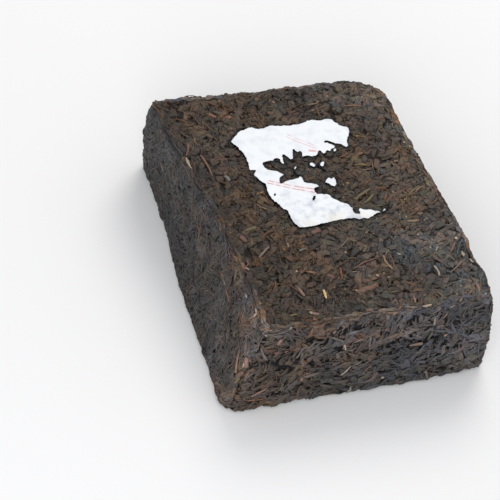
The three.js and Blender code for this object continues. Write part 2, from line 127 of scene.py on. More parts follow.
def unbowed(x, y):
    # the face coordinate that the shoulder carries to x
    push = blockForm["shoulder"] * (0.5 + y / blockForm["length"]) ** 2
    return (x + push / 2) / (1 + push / blockForm["width"])


ticketOutline = bowed(ticketOutline)
scrapOutlines = {node: bowed(outline) for node, outline in scrapOutlines.items()}
specks = {name: bowed(outline) for name, outline in specks.items()}

# The block's frame starts where the ticket's solid says that its lowest corner lies.
ticketLowest = (-31.5, -17.2)
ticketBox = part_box("paper_ticket")
toOrigin = np.array([ticketBox[0].x / mm - ticketLowest[0], ticketBox[0].y / mm - ticketLowest[1], 0.0])


def cellValue(i, j, salt):
    # a fixed value from -1 to 1 for each whole-number cell, mixed from its bits
    i, j = np.broadcast_arrays(np.asarray(i, np.int64), np.asarray(j, np.int64))
    primes = (i, 73856093), (j, 19349663), (np.int64(salt), 83492791)
    bits = [(n * prime) & 0xFFFFFFFF for n, prime in primes]
    state = ((bits[0] ^ bits[1] ^ bits[2]) + 0x6D2B79F5) & 0xFFFFFFFF
    mixed = ((state ^ (state >> 15)) * (state | 1)) & 0xFFFFFFFF
    mixed = mixed ^ ((mixed + (((mixed ^ (mixed >> 7)) * (mixed | 61)) & 0xFFFFFFFF)) & 0xFFFFFFFF)
    return (mixed ^ (mixed >> 14)) / 2147483648.0 - 1


def softNoise(u, v, salt):
    # cell values blended by a smooth step along both directions
    i, j = np.floor(u), np.floor(v)
    a, b = u - i, v - j
    a, b = a * a * (3 - 2 * a), b * b * (3 - 2 * b)
    near = cellValue(i, j, salt) * (1 - a) + cellValue(i + 1, j, salt) * a
    far = cellValue(i, j + 1, salt) * (1 - a) + cellValue(i + 1, j + 1, salt) * a
    return near * (1 - b) + far * b


def layeredNoise(u, v, scales, salt):
    # the sum of soft noises, each with its own amount and size
    return sum(amount * softNoise(u / size, v / size, salt + step)
               for step, (amount, size) in enumerate(scales))


def sway(u, v):
    # slow uneven waves: the product of two bent sines
    return np.sin(u + 1.3 * np.sin(0.9 * v + 0.4)) * np.cos(1.1 * v - 0.7 * np.sin(0.8 * u))


def smooth(value, low, high):
    # 0 below low, 1 above high, three squares less two cubes of the share between them
    t = np.clip((value - low) / (high - low), 0, 1)
    return t * t * (3 - 2 * t)


def linear(colour):
    # screen colour, 0 to 255, to linear light
    c = np.asarray(colour, float) / 255
    return np.where(c <= 0.04045, c / 12.92, ((c + 0.055) / 1.055) ** 2.4)


def unit(vectors):
    # each vector over its own length
    return vectors / np.maximum(np.linalg.norm(vectors, axis=-1, keepdims=True), 1e-9)


def blockPoint(across, along, drop):
    # a square, -1 to 1 both ways, stretched to the level's size, its corners rounded,
    # then leaned, spread at the foot and bulged at the shoulder
    across, along, drop = np.broadcast_arrays(across, along, drop)
    lean = blockForm["lean"] * drop + blockForm["belly"] * 4 * drop * (1 - drop)
    halfWidth = blockForm["width"] / 2 + lean
    halfLength = blockForm["length"] / 2 + lean
    corner = np.where(along < 0, np.where(across < 0, 0, 1), np.where(across < 0, 3, 2))
    topRadius, baseRadius = (np.take(blockForm[level], corner) for level in ("topRadii", "baseRadii"))
    radius = topRadius * (1 - drop) + baseRadius * drop
    x, y = np.abs(across) * halfWidth, np.abs(along) * halfLength
    intoX, intoY = (x - halfWidth + radius) / radius, (y - halfLength + radius) / radius
    rounded = (intoX > 0) & (intoY > 0)
    x = np.where(rounded, halfWidth - radius + radius * intoX * np.sqrt(np.clip(1 - intoY ** 2 / 2, 0, 1)), x)
    y = np.where(rounded, halfLength - radius + radius * intoY * np.sqrt(np.clip(1 - intoX ** 2 / 2, 0, 1)), y)
    x, y = x * np.sign(across), y * np.sign(along)
    left, front = 0.5 - x / (2 * halfWidth), 0.5 - y / (2 * halfLength)
    bulge = blockForm["shoulder"] * left * (1 - front) ** 2 * (1 - drop)
    spreadX, spreadY = blockForm["footSpread"]
    return np.stack([
        x - spreadX * left * front * drop - bulge,
        y - spreadY * left * front * drop,
        blockForm["height"] * (1 - drop),
    ], -1)


def rimPlace(run):
    # distance round the walls, from the front left corner, to a place on the square's edge
    run = np.mod(run, rimStops[-1])
    return np.interp(run, rimStops, (-1, 1, 1, -1, -1)), np.interp(run, rimStops, (-1, -1, 1, 1, -1))


def wallNormal(run, drop, reach=1.5):
    # level direction at right angles to the rim, from two points beside this one
    step = blockPoint(*rimPlace(run + reach), drop) - blockPoint(*rimPlace(run - reach), drop)
    return unit(np.stack([step[..., 1], -step[..., 0], np.zeros(step.shape[:-1])], -1))


def chipDepth(point):
    # a bowl round each chip's middle: its depth times one less the square of the share of its radius
    depth = np.zeros(point.shape[:-1])
    for x, y, radius, deep in relief["chips"]:
        away = np.linalg.norm(point - (x, y, blockForm["height"]), axis=-1) / radius
        depth = np.maximum(depth, deep * np.clip(1 - away ** 2, 0, 1))
    return depth


def crackDepth(run, drop):
    # grooves along the front wall, each as deep as a tent over its own level
    x = run - blockForm["width"] / 2
    depth = np.zeros(np.broadcast(run, drop).shape)
    for start, end, level, deep in relief["cracks"]:
        away = np.abs(drop - level) * blockForm["height"] / relief["crackHalfHeight"]
        depth = np.maximum(depth, deep * np.clip(1 - away, 0, 1) * ((x > start) & (x < end)))
    return depth


def endShare(run):
    # 1 on the front and back walls, 0 on the long ones
    return np.interp(np.mod(run, rimStops[-1]), relief["endFade"], (1, 0, 0, 1, 1, 0))


def wallHeight(run, drop):
    # slow waves, pressed layers along the wall, clumps and crumbs, less the cracks
    wave, waveRun, waveTurns = relief["wallWave"]
    (layerEnd, layerSide), layerRun = relief["wallLayer"]
    (clumpEnd, clumpSide), clumpSize = relief["clump"]
    crumb, crumbRun = relief["wallCrumb"]
    level, depth = drop * relief["layers"], drop * blockForm["height"]
    onEnd = endShare(run)
    layer, clump = layerSide + (layerEnd - layerSide) * onEnd, clumpSide + (clumpEnd - clumpSide) * onEnd
    return (wave * sway(run / waveRun, drop * waveTurns) + layer * softNoise(run / layerRun, level, 3)
            + crumb * softNoise(run / crumbRun, level, 4)
            + clump * softNoise(run / clumpSize, depth / clumpSize, 5) - crackDepth(run, drop))


def segmentDistance(x, y, x1, y1, x2, y2):
    # distance to the nearest point of the segment
    t = np.clip(((x - x1) * (x2 - x1) + (y - y1) * (y2 - y1)) / ((x2 - x1) ** 2 + (y2 - y1) ** 2), 0, 1)
    return np.hypot(x - x1 - t * (x2 - x1), y - y1 - t * (y2 - y1))


def outlineDistance(x, y, outline):
    # distance to the nearest edge of the outline, negative inside it
    nearest = np.full(x.shape, np.inf)
    inside = np.zeros(x.shape, bool)
    for (x1, y1), (x2, y2) in zip(outline, np.roll(outline, -1, axis=0)):
        nearest = np.minimum(nearest, segmentDistance(x, y, x1, y1, x2, y2))
        if y1 != y2:
            inside ^= ((y1 > y) != (y2 > y)) & (x < x1 + (x2 - x1) * (y - y1) / (y2 - y1))
    return np.where(inside, -nearest, nearest)


farAway = 99.0
paperPlace = {"middle": (-1, 15), "reach": (42, 43)}


def paperDistance(x, y):
    # distance to the nearest torn edge, negative on the paper, and farAway where none can be near
    distance = np.full(x.shape, farAway)
    (middleX, middleY), (reachX, reachY) = paperPlace["middle"], paperPlace["reach"]
    near = (np.abs(x - middleX) < reachX) & (np.abs(y - middleY) < reachY)
    px, py = x[near], y[near]
    nearest = outlineDistance(px, py, ticketOutline)
    for outline in (*scrapOutlines.values(), *specks.values()):
        nearest = np.minimum(nearest, outlineDistance(px, py, outline))
    distance[near] = nearest
    return distance


def bedHeight(x, y):
    # the slow waves that the paper lies on
    wave, waveX, waveY = relief["bedWave"]
    return wave * sway(x / waveX, y / waveY)


def topHeight(x, y, distance):
    # waves and crumbs, pressed down to the smooth bed under and around the paper
    wave, waveX, waveY = relief["topWave"]
    crumb, size = relief["topCrumb"]
    free = wave * sway(x / waveX, y / waveY) + crumb * softNoise(x / size, y / size, 1)
    pressed = smooth(relief["bedMargin"] + relief["bedFade"] - distance, 0, relief["bedFade"])
    return free * (1 - pressed) + (bedHeight(x, y) - relief["bedDepth"]) * pressed


def topPoint(across, along):
    # the block's top, raised by its relief and cut by the chips
    point = blockPoint(across, along, 0.0)
    x, y = point[..., 0], point[..., 1]
    point[..., 2] += topHeight(x, y, paperDistance(x, y)) - chipDepth(point)
    return point


def wallPoint(run, drop):
    # the block's side, pushed out by its relief and cut by the chips
    point = blockPoint(*rimPlace(run), drop)
    return point + wallNormal(run, drop) * (wallHeight(run, drop) - chipDepth(point))[..., None]


def makePiece(name, points, faces, material, attributes):
    # points in the block's millimetres go to metres round the origin; faces are arrays of quads or triangles
    mesh = bpy.data.meshes.new(name)
    points = (np.asarray(points).reshape(-1, 3) + toOrigin) * mm
    corners = np.concatenate([f.ravel() for f in faces]).astype(np.int32)
    sizes = np.concatenate([np.full(len(f), f.shape[1]) for f in faces])
    mesh.vertices.add(len(points))
    mesh.vertices.foreach_set("co", points.astype(np.float32).ravel())
    mesh.loops.add(len(corners))
    mesh.loops.foreach_set("vertex_index", corners)
    mesh.polygons.add(len(sizes))
    mesh.polygons.foreach_set("loop_start", np.concatenate([[0], np.cumsum(sizes)[:-1]]).astype(np.int32))
    mesh.polygons.foreach_set("use_smooth", np.ones(len(sizes), bool))
    mesh.update(calc_edges=True)
    for label, values in attributes.items():
        kind, field = ("FLOAT_COLOR", "color") if values.shape[-1] == 4 else ("FLOAT_VECTOR", "vector")
        layer = mesh.attributes.new(label, kind, "POINT")
        layer.data.foreach_set(field, values.astype(np.float32).ravel())
    mesh.materials.append(material)
    piece = bpy.data.objects.new(name, mesh)
    bpy.context.scene.collection.objects.link(piece)
    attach(piece, "root")
    print(f"{name}: {int((sizes - 2).sum())} triangles")
    return piece


def gridQuads(rows, columns):
    # the four corners of each cell of a grid of points, counterclockwise
    first = np.arange(rows - 1)[:, None] * columns + np.arange(columns - 1)
    return np.stack([first, first + columns, first + columns + 1, first + 1], -1)


def strandMesh(name, strands, material):
    # each strand is a closed ring of section points carried along its centre line, with a point at each end
    centre, sideways, outward, half, thick, tone, dim = (np.concatenate([s[key] for s in strands]) for key in (
        "centre", "sideways", "outward", "half", "thick", "tone", "dim"))
    section = strands[0]["section"]
    count, stations, around = len(centre), centre.shape[1] - 2, len(section)
    inner = slice(1, -1)
    ring = (centre[:, inner, None]
            + sideways[:, inner, None] * (half[:, inner, None] * section[:, 0])[..., None]
            + outward[:, inner, None] * (thick[:, inner, None] * section[:, 1])[..., None])
    points = np.concatenate([ring.reshape(count, -1, 3), centre[:, :1], centre[:, -1:]], 1)
    size = stations * around + 2
    s, k = (grid.ravel() for grid in np.meshgrid(np.arange(stations - 1), np.arange(around), indexing="ij"))
    n = (k + 1) % around
    quads = np.stack([s * around + k, s * around + n, (s + 1) * around + n, (s + 1) * around + k], -1)
    k, n = k[:around], n[:around]
    last = (stations - 1) * around
    tips = np.concatenate([np.stack([np.full(around, size - 2), n, k], -1),
                           np.stack([np.full(around, size - 1), last + k, last + n], -1)])
    base = (np.arange(count) * size)[:, None, None]
    # grain: millimetres along the strand, millimetres across it, and a number of its own
    steps = np.linalg.norm(np.diff(centre, axis=1), axis=2)
    lengths = np.concatenate([np.zeros((count, 1)), np.cumsum(steps, 1)], 1)
    grain = np.zeros((count, size, 3))
    grain[:, :-2, 0] = np.repeat(lengths[:, inner], around, 1)
    grain[:, :-2, 1] = (half[:, inner, None] * section[:, 0]).reshape(count, -1)
    grain[:, -1, 0] = lengths[:, -1]
    grain[:, :, 2] = (np.arange(count) * goldenShare % 1 * grainReach)[:, None]
    # painted shade: each point's tone is darkened by its section's or the tips' brightness and by the dim of
    # the creases and the paper's edge; that dim also goes in as the fourth number, the light that is left
    shade = np.concatenate([np.tile(section[:, 2], stations), (tipShade, tipShade)])
    dim = np.concatenate([np.repeat(dim[:, inner], around, 1), dim[:, :1], dim[:, -1:]], 1)
    tones = np.concatenate([tone[:, None] * (shade * dim)[..., None], dim[..., None]], 2)
    faces = [(quads + base).reshape(-1, 4), (tips + base).reshape(-1, 3)]
    makePiece(name, points, faces, material,
              {"toneWithPaintedShade": tones.reshape(-1, 4), "grain": grain.reshape(-1, 3)})


# sections, counterclockwise from the right: half widths across, thicknesses up, and brightness, which is
# painted shade: edges and underside darker, ridges lighter
roundSection = np.array([(math.cos(turn), 0.5 * math.sin(turn), 0.86 + 0.2 * math.sin(turn))
                         for turn in np.arange(6) * math.pi / 3])
foldedSection = np.array([(1, 0.0, 0.84), (0.5, 0.5, 1.05), (0.05, 0.22, 0.92), (-0.5, 0.45, 1.04),
                          (-1, 0.05, 0.86), (0, -0.5, 0.5)])
rolledSection = np.array([(1, 0.0, 0.84), (0.35, 0.5, 1.06), (-0.6, 0.42, 1.0), (-0.9, -0.1, 0.8),
                          (0.2, -0.5, 0.5)])
# painted shade: the tips are darker
tipShade = 0.82
goldenShare, grainReach = 0.618, 40     # spread the strands' own numbers evenly up to the reach


edgeForm = {   # millimetres, unless they are shares
    "fall": 0.8, "sink": (0.5, 0.4),     # down past the rim and at it, with its reach
    "lean": (0.7, 1.5),                  # how far strands face outwards at the rim, with its reach
    "wallRoom": (0.012, 0.988),          # shares of the height that strands keep to
    "crumbled": (0.9, 0.7),              # cut back at the walls' upper edge, with its reach
    "foot": (1.4, 0.965),                # cut back below this share of the height
    "baseReach": 0.97,
}


def onTop(u, v):
    # inside the rim the top face; past it the strand bends down over the edge, and at it faces outwards
    w, l = blockForm["width"] / 2, blockForm["length"] / 2
    past = np.hypot(np.clip(np.abs(u) - w, 0, None), np.clip(np.abs(v) - l, 0, None))
    point = topPoint(np.clip(u / w, -1, 1), np.clip(v / l, -1, 1))
    edge = np.clip(np.minimum(w - np.abs(u), l - np.abs(v)), 0, None)
    (sink, sinkReach), (lean, leanReach) = edgeForm["sink"], edgeForm["lean"]
    point[..., 2] -= edgeForm["fall"] * past + sink * np.exp(-edge / sinkReach)
    outward = np.ones(point.shape)
    for axis, (place, half) in enumerate(((u, w), (v, l))):
        outward[..., axis] = lean * np.sign(place) * np.exp(-np.clip(half - np.abs(place), 0, None) / leanReach)
    return point, unit(outward)


def onWall(u, v):
    # the wall's own points, cut back where the brick crumbles, at its upper edge and its foot
    drop = np.clip(v / blockForm["height"], *edgeForm["wallRoom"])
    normal = wallNormal(u, drop)
    (top, topReach), (foot, footStart) = edgeForm["crumbled"], edgeForm["foot"]
    crumbled = top * np.exp(-drop * blockForm["height"] / topReach) + foot * smooth(drop, footStart, 1)
    return wallPoint(u, drop) - normal * crumbled[..., None], normal


def onRim(u, v):
    # v is millimetres past the crest: inward over the top face where negative, down the wall where positive;
    # a bell of the crest's own radius rounds it, down and inwards
    drop = np.clip(v, 0, None) / blockForm["height"]
    normal = wallNormal(u, drop)
    radius = rimLook["round"]
    onFace = topPoint(*rimPlace(u)) + normal * wallHeight(u, 0 * u)[..., None]
    point = np.where((v > 0)[..., None], wallPoint(u, drop), onFace) + normal * np.clip(v, None, 0)[..., None]
    share = np.clip(0.5 + v / (2.5 * radius), 0, 1)[..., None]
    outward = unit(normal * share + np.array([0, 0, 1.0]) * (1 - share))
    return point - (normal + (0, 0, 1)) * (radius * np.exp(-(v / radius) ** 2))[..., None], outward


def onBase(u, v):
    # the outline of the foot, filled in, facing down
    reach = edgeForm["baseReach"]
    across, along = (np.clip(2 * place / blockForm[side], -reach, reach)
                     for place, side in ((u, "width"), (v, "length")))
    point = blockPoint(across, along, 1.0)
    point[..., 2] = 0
    return point, np.broadcast_to((0.0, 0.0, -1.0), point.shape)


strandForm = {   # shares of a strand's width, as it varies along its length
    "skew": 0.3, "taper": (0.1, 0.75), "ragged": (0.68, 1.2), "thinnest": 0.12, "torn": 0.7,
}


def sideAndOut(point, normal):
    # unit directions across the line of points and out of it, square to its run
    forward = unit(np.gradient(point, axis=1))
    side = unit(np.cross(normal, forward))
    return side, unit(np.cross(forward, side))


def fullness(form, t, count, rng):
    # one less a share of the square of the place along the strand, skewed to one end and ragged
    skewed = 2 * t + rng.uniform(-form["skew"], form["skew"], (count, 1))
    taper = 1 - rng.uniform(*form["taper"], (count, 1)) * skewed ** 2
    return np.clip(taper, form["thinnest"], 1) * rng.uniform(*form["ragged"], taper.shape)


def layStrands(surface, u, v, angle, shape, palette, rng, room=None, cap=None):
    # a strand's centre line bends at a steady rate through (u, v) and is shifted to lie in its room; each
    # station is set on the surface and lifted along its normal; width, lift and heading vary at random
    count, t = len(u), np.array(shape["stations"])[None]
    pick = lambda key: rng.uniform(*shape[key], (count, 1))
    length, bend, width = pick("length"), rng.normal(0, shape["bend"], (count, 1)), pick("width")
    heading = angle[:, None] + bend * t + rng.normal(0, shape["crinkle"], (count, t.shape[1]))
    step = length * np.diff(t, prepend=t[:, :1])
    su, sv = (place[:, None] + np.cumsum(step * turn(heading), 1)
              for place, turn in ((u, np.cos), (v, np.sin)))
    su, sv = su - (su[:, -1:] - u[:, None]) / 2, sv - (sv[:, -1:] - v[:, None]) / 2
    if room is not None:
        for axis, (place, lean) in enumerate(((su, np.sin(angle)), (sv, np.cos(angle)))):
            margin = (width[:, 0] / 2 * np.abs(lean))[:, None]
            place += np.clip(room[0][axis] + margin - place.min(1, keepdims=True), 0, None)
            place -= np.clip(place.max(1, keepdims=True) + margin - room[1][axis], 0, None)
    point, normal = surface(su, sv)
    tilt = rng.normal(0, shape["roll"], (count, 1)) + rng.normal(0, shape["twist"], (count, 1)) * t
    side, outward = sideAndOut(point, normal)
    cos, sin = np.cos(tilt)[..., None], np.sin(tilt)[..., None]
    sideways, outward = side * cos + outward * sin, outward * cos - side * sin
    full = fullness(strandForm, t, count, rng)
    half, thick = width / 2 * full, pick("thickness") * full
    height = rng.uniform(0, 1, (count, 1))
    low, high = shape["lift"]
    lift = low + height * (high - low) + rng.normal(0, shape["wobble"], (count, t.shape[1]))
    lift = lift - shape["dive"] * np.abs(2 * t) ** 3
    if cap is not None:
        lift = np.minimum(lift, cap(point) - thick / 2 - half * np.abs(np.sin(tilt)))
    sunk, dim = folds[surface](su, sv, point)
    centre = point + normal * (lift - sunk)[..., None]
    torn = rng.uniform(-strandForm["torn"], strandForm["torn"], (count, 2))
    centre[:, 0] += sideways[:, 0] * (half[:, 1:2] * torn[:, :1])
    centre[:, -1] += sideways[:, -1] * (half[:, -2:-1] * torn[:, 1:])
    middle = su[:, 2], sv[:, 2]
    tone = pickTones(palette, casts[surface](*middle), *middle, height[:, 0], rng)
    return {"centre": centre, "sideways": sideways, "outward": outward, "half": half, "thick": thick,
            "tone": tone, "dim": dim, "section": shape["section"]}


def evenPlaces(low, high, count, rng):
    # one random place in each cell of a grid over the rectangle
    width, length = high[0] - low[0], high[1] - low[1]
    cell = math.sqrt(width * length / count)
    nu, nv = max(1, round(width / cell)), max(1, round(length / cell))
    i, j = np.meshgrid(np.arange(nu), np.arange(nv), indexing="ij")
    u = low[0] + width * (i.ravel() + rng.uniform(0, 1, nu * nv)) / nu
    v = low[1] + length * (j.ravel() + rng.uniform(0, 1, nu * nv)) / nv
    return u, v


creases = {
    # the darks, byPaper and paperLine are painted shade: darker creases and cracks, and a painted shadow line
    # beside the paper's edge
    "width": 0.2, "topSize": 6.5, "topDepth": 0.35, "topDark": 0.45, "byPaper": 1.0, "paperLine": 1.45,
    "wallSize": (9, 3.6), "sideShare": 0.3, "rise": -0.35, "wallDepth": 0.6, "wallDark": 0.5,
    "crackHalf": 0.95, "crackDepth": 1.2, "crackDark": 0.8,
}


def creaseShare(a, b, salt):
    # 1 along the lines where slow noise crosses zero, 0 away from them
    noise = softNoise(a, b, salt) + 0.5 * softNoise(2 * a, 2 * b, salt + 1)
    return np.clip(1 - np.abs(noise) / creases["width"], 0, 1)


wallCracks = [   # places along and down the front wall
    ((1.4, 18.7), (3.1, 16.3), (4.8, 15.5), (7.8, 16.2), (10.9, 17.8), (17.6, 20.5), (20.4, 19.2)),
    ((11.2, 21.5), (14.9, 21.5), (17.6, 20.5)), ((20.2, 17.7), (19.7, 14.3)),
    ((20.1, 11.1), (21.3, 9.1), (22.5, 6.9)), ((23.2, 10.6), (25.4, 10.1), (28, 10.3), (32.2, 9.8)),
    ((34.4, 13.8), (37.2, 15.5)), ((41, 13.5), (44.1, 13.8)), ((42.7, 17.5), (44.3, 16.8)),
    ((48.1, 18.7), (51, 18.7)), ((27, 30.6), (27.8, 28.8), (30.1, 28.3)), ((30.3, 25.4), (32, 24.6)),
    ((40.6, 26.4), (45.1, 25.1)), ((35.5, 6.1), (38.9, 5.7), (42.5, 4.9)),
    ((54.8, 18.8), (58.1, 18.7), (60.9, 18), (63.1, 16.8), (66.4, 17.8), (71.9, 18.2)),
    ((73.2, 21.4), (74, 19.7)), ((76.8, 20.5), (79.2, 19.9), (80.6, 18.5), (84.2, 17.3)),
    ((87.9, 25.2), (91.7, 23.4), (94.1, 22.2), (97.5, 22.4)), ((94.8, 30.6), (96.3, 30.1), (98.9, 30)),
    ((65.9, 14.3), (69, 14.3)), ((65.4, 8.1), (69.2, 6.9)), ((74, 11.3), (78.2, 12.6)),
    ((74.4, 28.9), (76.8, 28.6)),
]


def crackShare(u, v):
    # 1 on the front wall's own cracks, 0 from a half width away
    nearest = np.full(u.shape, farAway)
    for crack in wallCracks:
        for start, end in zip(crack, crack[1:]):
            nearest = np.minimum(nearest, segmentDistance(u, v, *start, *end))
    return smooth(creases["crackHalf"] - nearest, 0, creases["crackHalf"] / 2)


def paperEdge(x, y):
    # how much light is left beside the paper: a dark line that follows its edge
    away = np.clip(paperDistance(x, y), 0, None)
    return 1 - creases["byPaper"] * np.exp(-(away / creases["paperLine"]) ** 4)


def topFolds(u, v, point):
    # how deep the creases are, and how much light is left in them and beside the paper
    share = creaseShare(u / creases["topSize"], v / creases["topSize"], 97)
    light = (1 - creases["topDark"] * share) * paperEdge(point[..., 0], point[..., 1])
    return creases["topDepth"] * share, light


def wallFolds(u, v, point):
    # the deeper and the darker of the creases, faint on the long sides, and the cracks; the darkening is
    # painted shade
    along, across = creases["wallSize"]
    faint = creases["sideShare"]
    share = creaseShare(u / along, (v + creases["rise"] * u) / across, 93) * (faint + (1 - faint) * endShare(u))
    crack = crackShare(u, v)
    return (np.maximum(creases["wallDepth"] * share, creases["crackDepth"] * crack),
            1 - np.maximum(creases["wallDark"] * share, creases["crackDark"] * crack))


def noFolds(u, v, point):
    # level and fully lit
    return np.zeros(u.shape), np.ones(u.shape)


topLight = {
    "warmth": (0.125, 0.15, 0.62),     # everywhere, more to the left, less in the front right corner
    "bright": (-0.08, 0.54, 0.12),     # painted light: in the middle, lighter to the right, darker in the back left corner
    "contrast": (0.78, 0.36),          # everywhere, more to the left
}
wallLight = {
    "warmth": (0.05, 0.15, 40),               # everywhere, near the front left corner, its reach
    "leftWarmth": (0.055, 0.09),              # on the left wall, more downward
    "bright": (0.59, 0.05, 0.72),             # painted light: near that corner, more with distance, darker downward
    "leftBright": (-0.27, 1.12, 60, 0.52),    # painted light on the left wall: its level, more near the corner, its reach, darker to the back
    "leftDrop": (0.12, 0.25),                 # painted shade on the left wall: darker downward, and more so further back
    "contrast": (0.97, 1.6),                  # on the ends, on the long sides
}


def topCast(u, v):
    # warmth, painted light and contrast: browner to the left and back; painted lighter to the right, darker to
    # the left and in the back left corner
    right, front = 0.5 + u / blockForm["width"], 0.5 - v / blockForm["length"]
    warm, warmLeft, coolCorner = topLight["warmth"]
    bright, brightRight, darkCorner = topLight["bright"]
    contrast, contrastLeft = topLight["contrast"]
    return (warm + warmLeft * (1 - right) - coolCorner * np.clip(right * front, 0, 1) ** 2.5,
            bright + brightRight * (2 * right - 1) - darkCorner * np.clip((1 - right) * (1 - front), 0, 1),
            contrast + contrastLeft * (1 - right))


def wallCast(u, v):
    # browner near the front left corner, where the rim starts; painted light and shade: darker downward, and on
    # the left wall lighter near that corner and darker downward and to the back
    run = np.mod(u, rimStops[-1])
    away = np.minimum(run, rimStops[-1] - run)
    drop, onLeft, back = v / blockForm["height"], run > rimStops[3], away / blockForm["length"]
    start, withBack, withDrop = wallLight["bright"]
    level, nearby, reach, fade = wallLight["leftBright"]
    leftDrop, backDrop = wallLight["leftDrop"]
    left = level + nearby * np.exp(-away / reach) - fade * back - (leftDrop + backDrop * back) * drop
    bright = np.where(onLeft, left, start + withBack * back) - withDrop * drop
    warm, corner, reach = wallLight["warmth"]
    leftWarm, leftWarmDrop = wallLight["leftWarmth"]
    warmth = warm + corner * np.exp(-away / reach) + np.where(onLeft, leftWarm + leftWarmDrop * drop, 0)
    end, side = wallLight["contrast"]
    return warmth, bright, side + (end - side) * endShare(run)


def rimCast(u, v):
    # the walls', with a painted highlight that lightens the crest, and a warmer crest
    warmth, bright, contrast = wallCast(u, 0 * v)
    light, reach = rimLook["light"]
    return warmth + rimLook["warmth"], bright + light * np.exp(-(v / reach) ** 2), contrast


toneSpread = {
    "patch": 5.0, "widePatch": (3, 0.7), "byPatch": 0.9, "ownHue": 0.1,     # what decides a strand's colour
    "own": 0.13, "depth": 0.36, "level": 0.75,                              # its brightness, and painted shade that darkens it where it lies low
    "small": ((0.25, 2.6), (0.34, 5.5)), "large": ((0.32, 12), (0.2, 34)),  # amount and size of its patches
    "warm": ((0.10, 5.5), (0.15, 11), (0.13, 32)), "green": ((0.05, 4.5),),
}


def pickTones(palette, cast, u, v, height, rng):
    # each strand takes one colour of the palette, by its share: mostly by the patch it lies in, partly at
    # random; its brightness is the product of its region's painted light, its patches' and its own, with
    # painted shade where it lies low
    colours = linear([entry[0] for entry in palette])
    shares = np.cumsum([entry[1] for entry in palette])
    size, (wider, widerShare) = toneSpread["patch"], toneSpread["widePatch"]
    wider = wider * size
    field = softNoise(u / size, v / size, 11) + widerShare * softNoise(u / wider, v / wider, 14)
    draw = np.mod(rng.uniform(0, toneSpread["ownHue"], len(u)) + toneSpread["byPatch"] * field + 1, 1)
    tones = colours[np.searchsorted(shares / shares[-1], draw)]
    # painted shade: strands that lie low are darker
    spread = rng.normal(0, toneSpread["own"], len(u)) + toneSpread["depth"] * (height - toneSpread["level"])
    spread += layeredNoise(u, v, toneSpread["small"], 15)
    warmth, bright, contrast = cast
    warmth = warmth + layeredNoise(u, v, toneSpread["warm"], 25)
    bright = bright + layeredNoise(u, v, toneSpread["large"], 17) / contrast
    tint = np.stack([1 + warmth, 1 + layeredNoise(u, v, toneSpread["green"], 29), 1 - warmth], -1)
    return tones * tint * np.exp(bright + contrast * spread)[:, None]


def newGroup(name, inputs):
    # a shader node group with an input for each label, by its kind or its starting number, and three outputs
    group = bpy.data.node_groups.new(name, "ShaderNodeTree")
    for label, given in inputs.items():
        kind = given if isinstance(given, str) else "Float"
        socket = group.interface.new_socket(label, in_out="INPUT", socket_type="NodeSocket" + kind)
        if kind != given:
            socket.default_value = given
    for label, kind in (("Colour", "Color"), ("Roughness", "Float"), ("Height", "Float")):
        group.interface.new_socket(label, in_out="OUTPUT", socket_type="NodeSocket" + kind)
    return group, group.nodes.new("NodeGroupInput"), group.nodes.new("NodeGroupOutput")


def addNode(tree, kind, settings=None, values=None):
    # a node with its settings, and numbers on its input sockets
    node = tree.nodes.new(kind)
    for key, value in (settings or {}).items():
        setattr(node, key, value)
    for key, value in (values or {}).items():
        node.inputs[key].default_value = value
    return node


def wire(tree, *pairs):
    # links each output socket to its input socket; a number or a colour is set on the input instead
    for value, socket in pairs:
        if isinstance(value, bpy.types.NodeSocket):
            tree.links.new(value, socket)
        else:
            socket.default_value = value if isinstance(value, (int, float)) else (*value[:3], 1)


def math2(tree, operation, *values):
    # one sum of sockets or numbers
    node = addNode(tree, "ShaderNodeMath", {"operation": operation})
    wire(tree, *zip(values, node.inputs))
    return node.outputs[0]


def arithmetic(tree):
    # product, sum and difference, as nodes of this tree
    return [lambda a, b, operation=operation: math2(tree, operation, a, b)
            for operation in ("MULTIPLY", "ADD", "SUBTRACT")]


def mixColour(tree, factor, a, b):
    # a times one less the factor, plus b times the factor
    node = addNode(tree, "ShaderNodeMix", {"data_type": "RGBA"})
    wire(tree, (factor, node.inputs[0]), (a, node.inputs[6]), (b, node.inputs[7]))
    return node.outputs[2]


def noiseValue(tree, coordinates, scale, detail, rough=0.55):
    # layered noise, 0 to 1, with the middle near 0.5
    node = addNode(tree, "ShaderNodeTexNoise", {}, {"Scale": scale, "Detail": detail, "Roughness": rough})
    wire(tree, (coordinates, node.inputs["Vector"]))
    return node.outputs["Fac"]


def ramp(tree, value, low, high):
    # a smooth step from 0 at low to 1 at high
    node = addNode(tree, "ShaderNodeMapRange", {"interpolation_type": "SMOOTHSTEP"}, {1: low, 2: high})
    wire(tree, (value, node.inputs[0]))
    return node.outputs[0]


def surfaceMaterial(name, group, values, specular, bump):
    # a material with its roughness, and a relief of the bump's strength and distance, from the node group
    material = bpy.data.materials.new(name)
    material.use_nodes = True
    tree = material.node_tree
    shader = tree.nodes["Principled BSDF"]
    shader.inputs["Specular IOR Level"].default_value = specular
    surface = addNode(tree, "ShaderNodeGroup", {"node_tree": group}, values)
    raised = addNode(tree, "ShaderNodeBump", {}, {"Strength": bump[0], "Distance": bump[1]})
    place = addNode(tree, "ShaderNodeTexCoord").outputs["Object"]
    wire(tree, (place, surface.inputs["Place"]), (surface.outputs["Roughness"], shader.inputs["Roughness"]),
         (surface.outputs["Height"], raised.inputs["Height"]),
         (raised.outputs["Normal"], shader.inputs["Normal"]))
    return material, tree, surface, place, shader.inputs["Base Color"]


leafGrain = {
    "stretch": (0.4, 2.6, 1.0), "streaks": (1.0, 4, 0.65),        # waves of the streaks to a millimetre
    "mottle": (900, 3), "fine": (2600, 2), "patch": (120, 2),     # waves to a metre, layers
    "mottled": 0.9, "patched": 0.5, "darkest": 0.25,
    "dust": (104, 99, 96), "dusty": (0.5, 0.75),                  # colour, and the mottling it lies between
    "rough": (0.28, 0.5, 0.3), "height": (0.7, 0.3), "bump": (1.0, 0.0004),
}


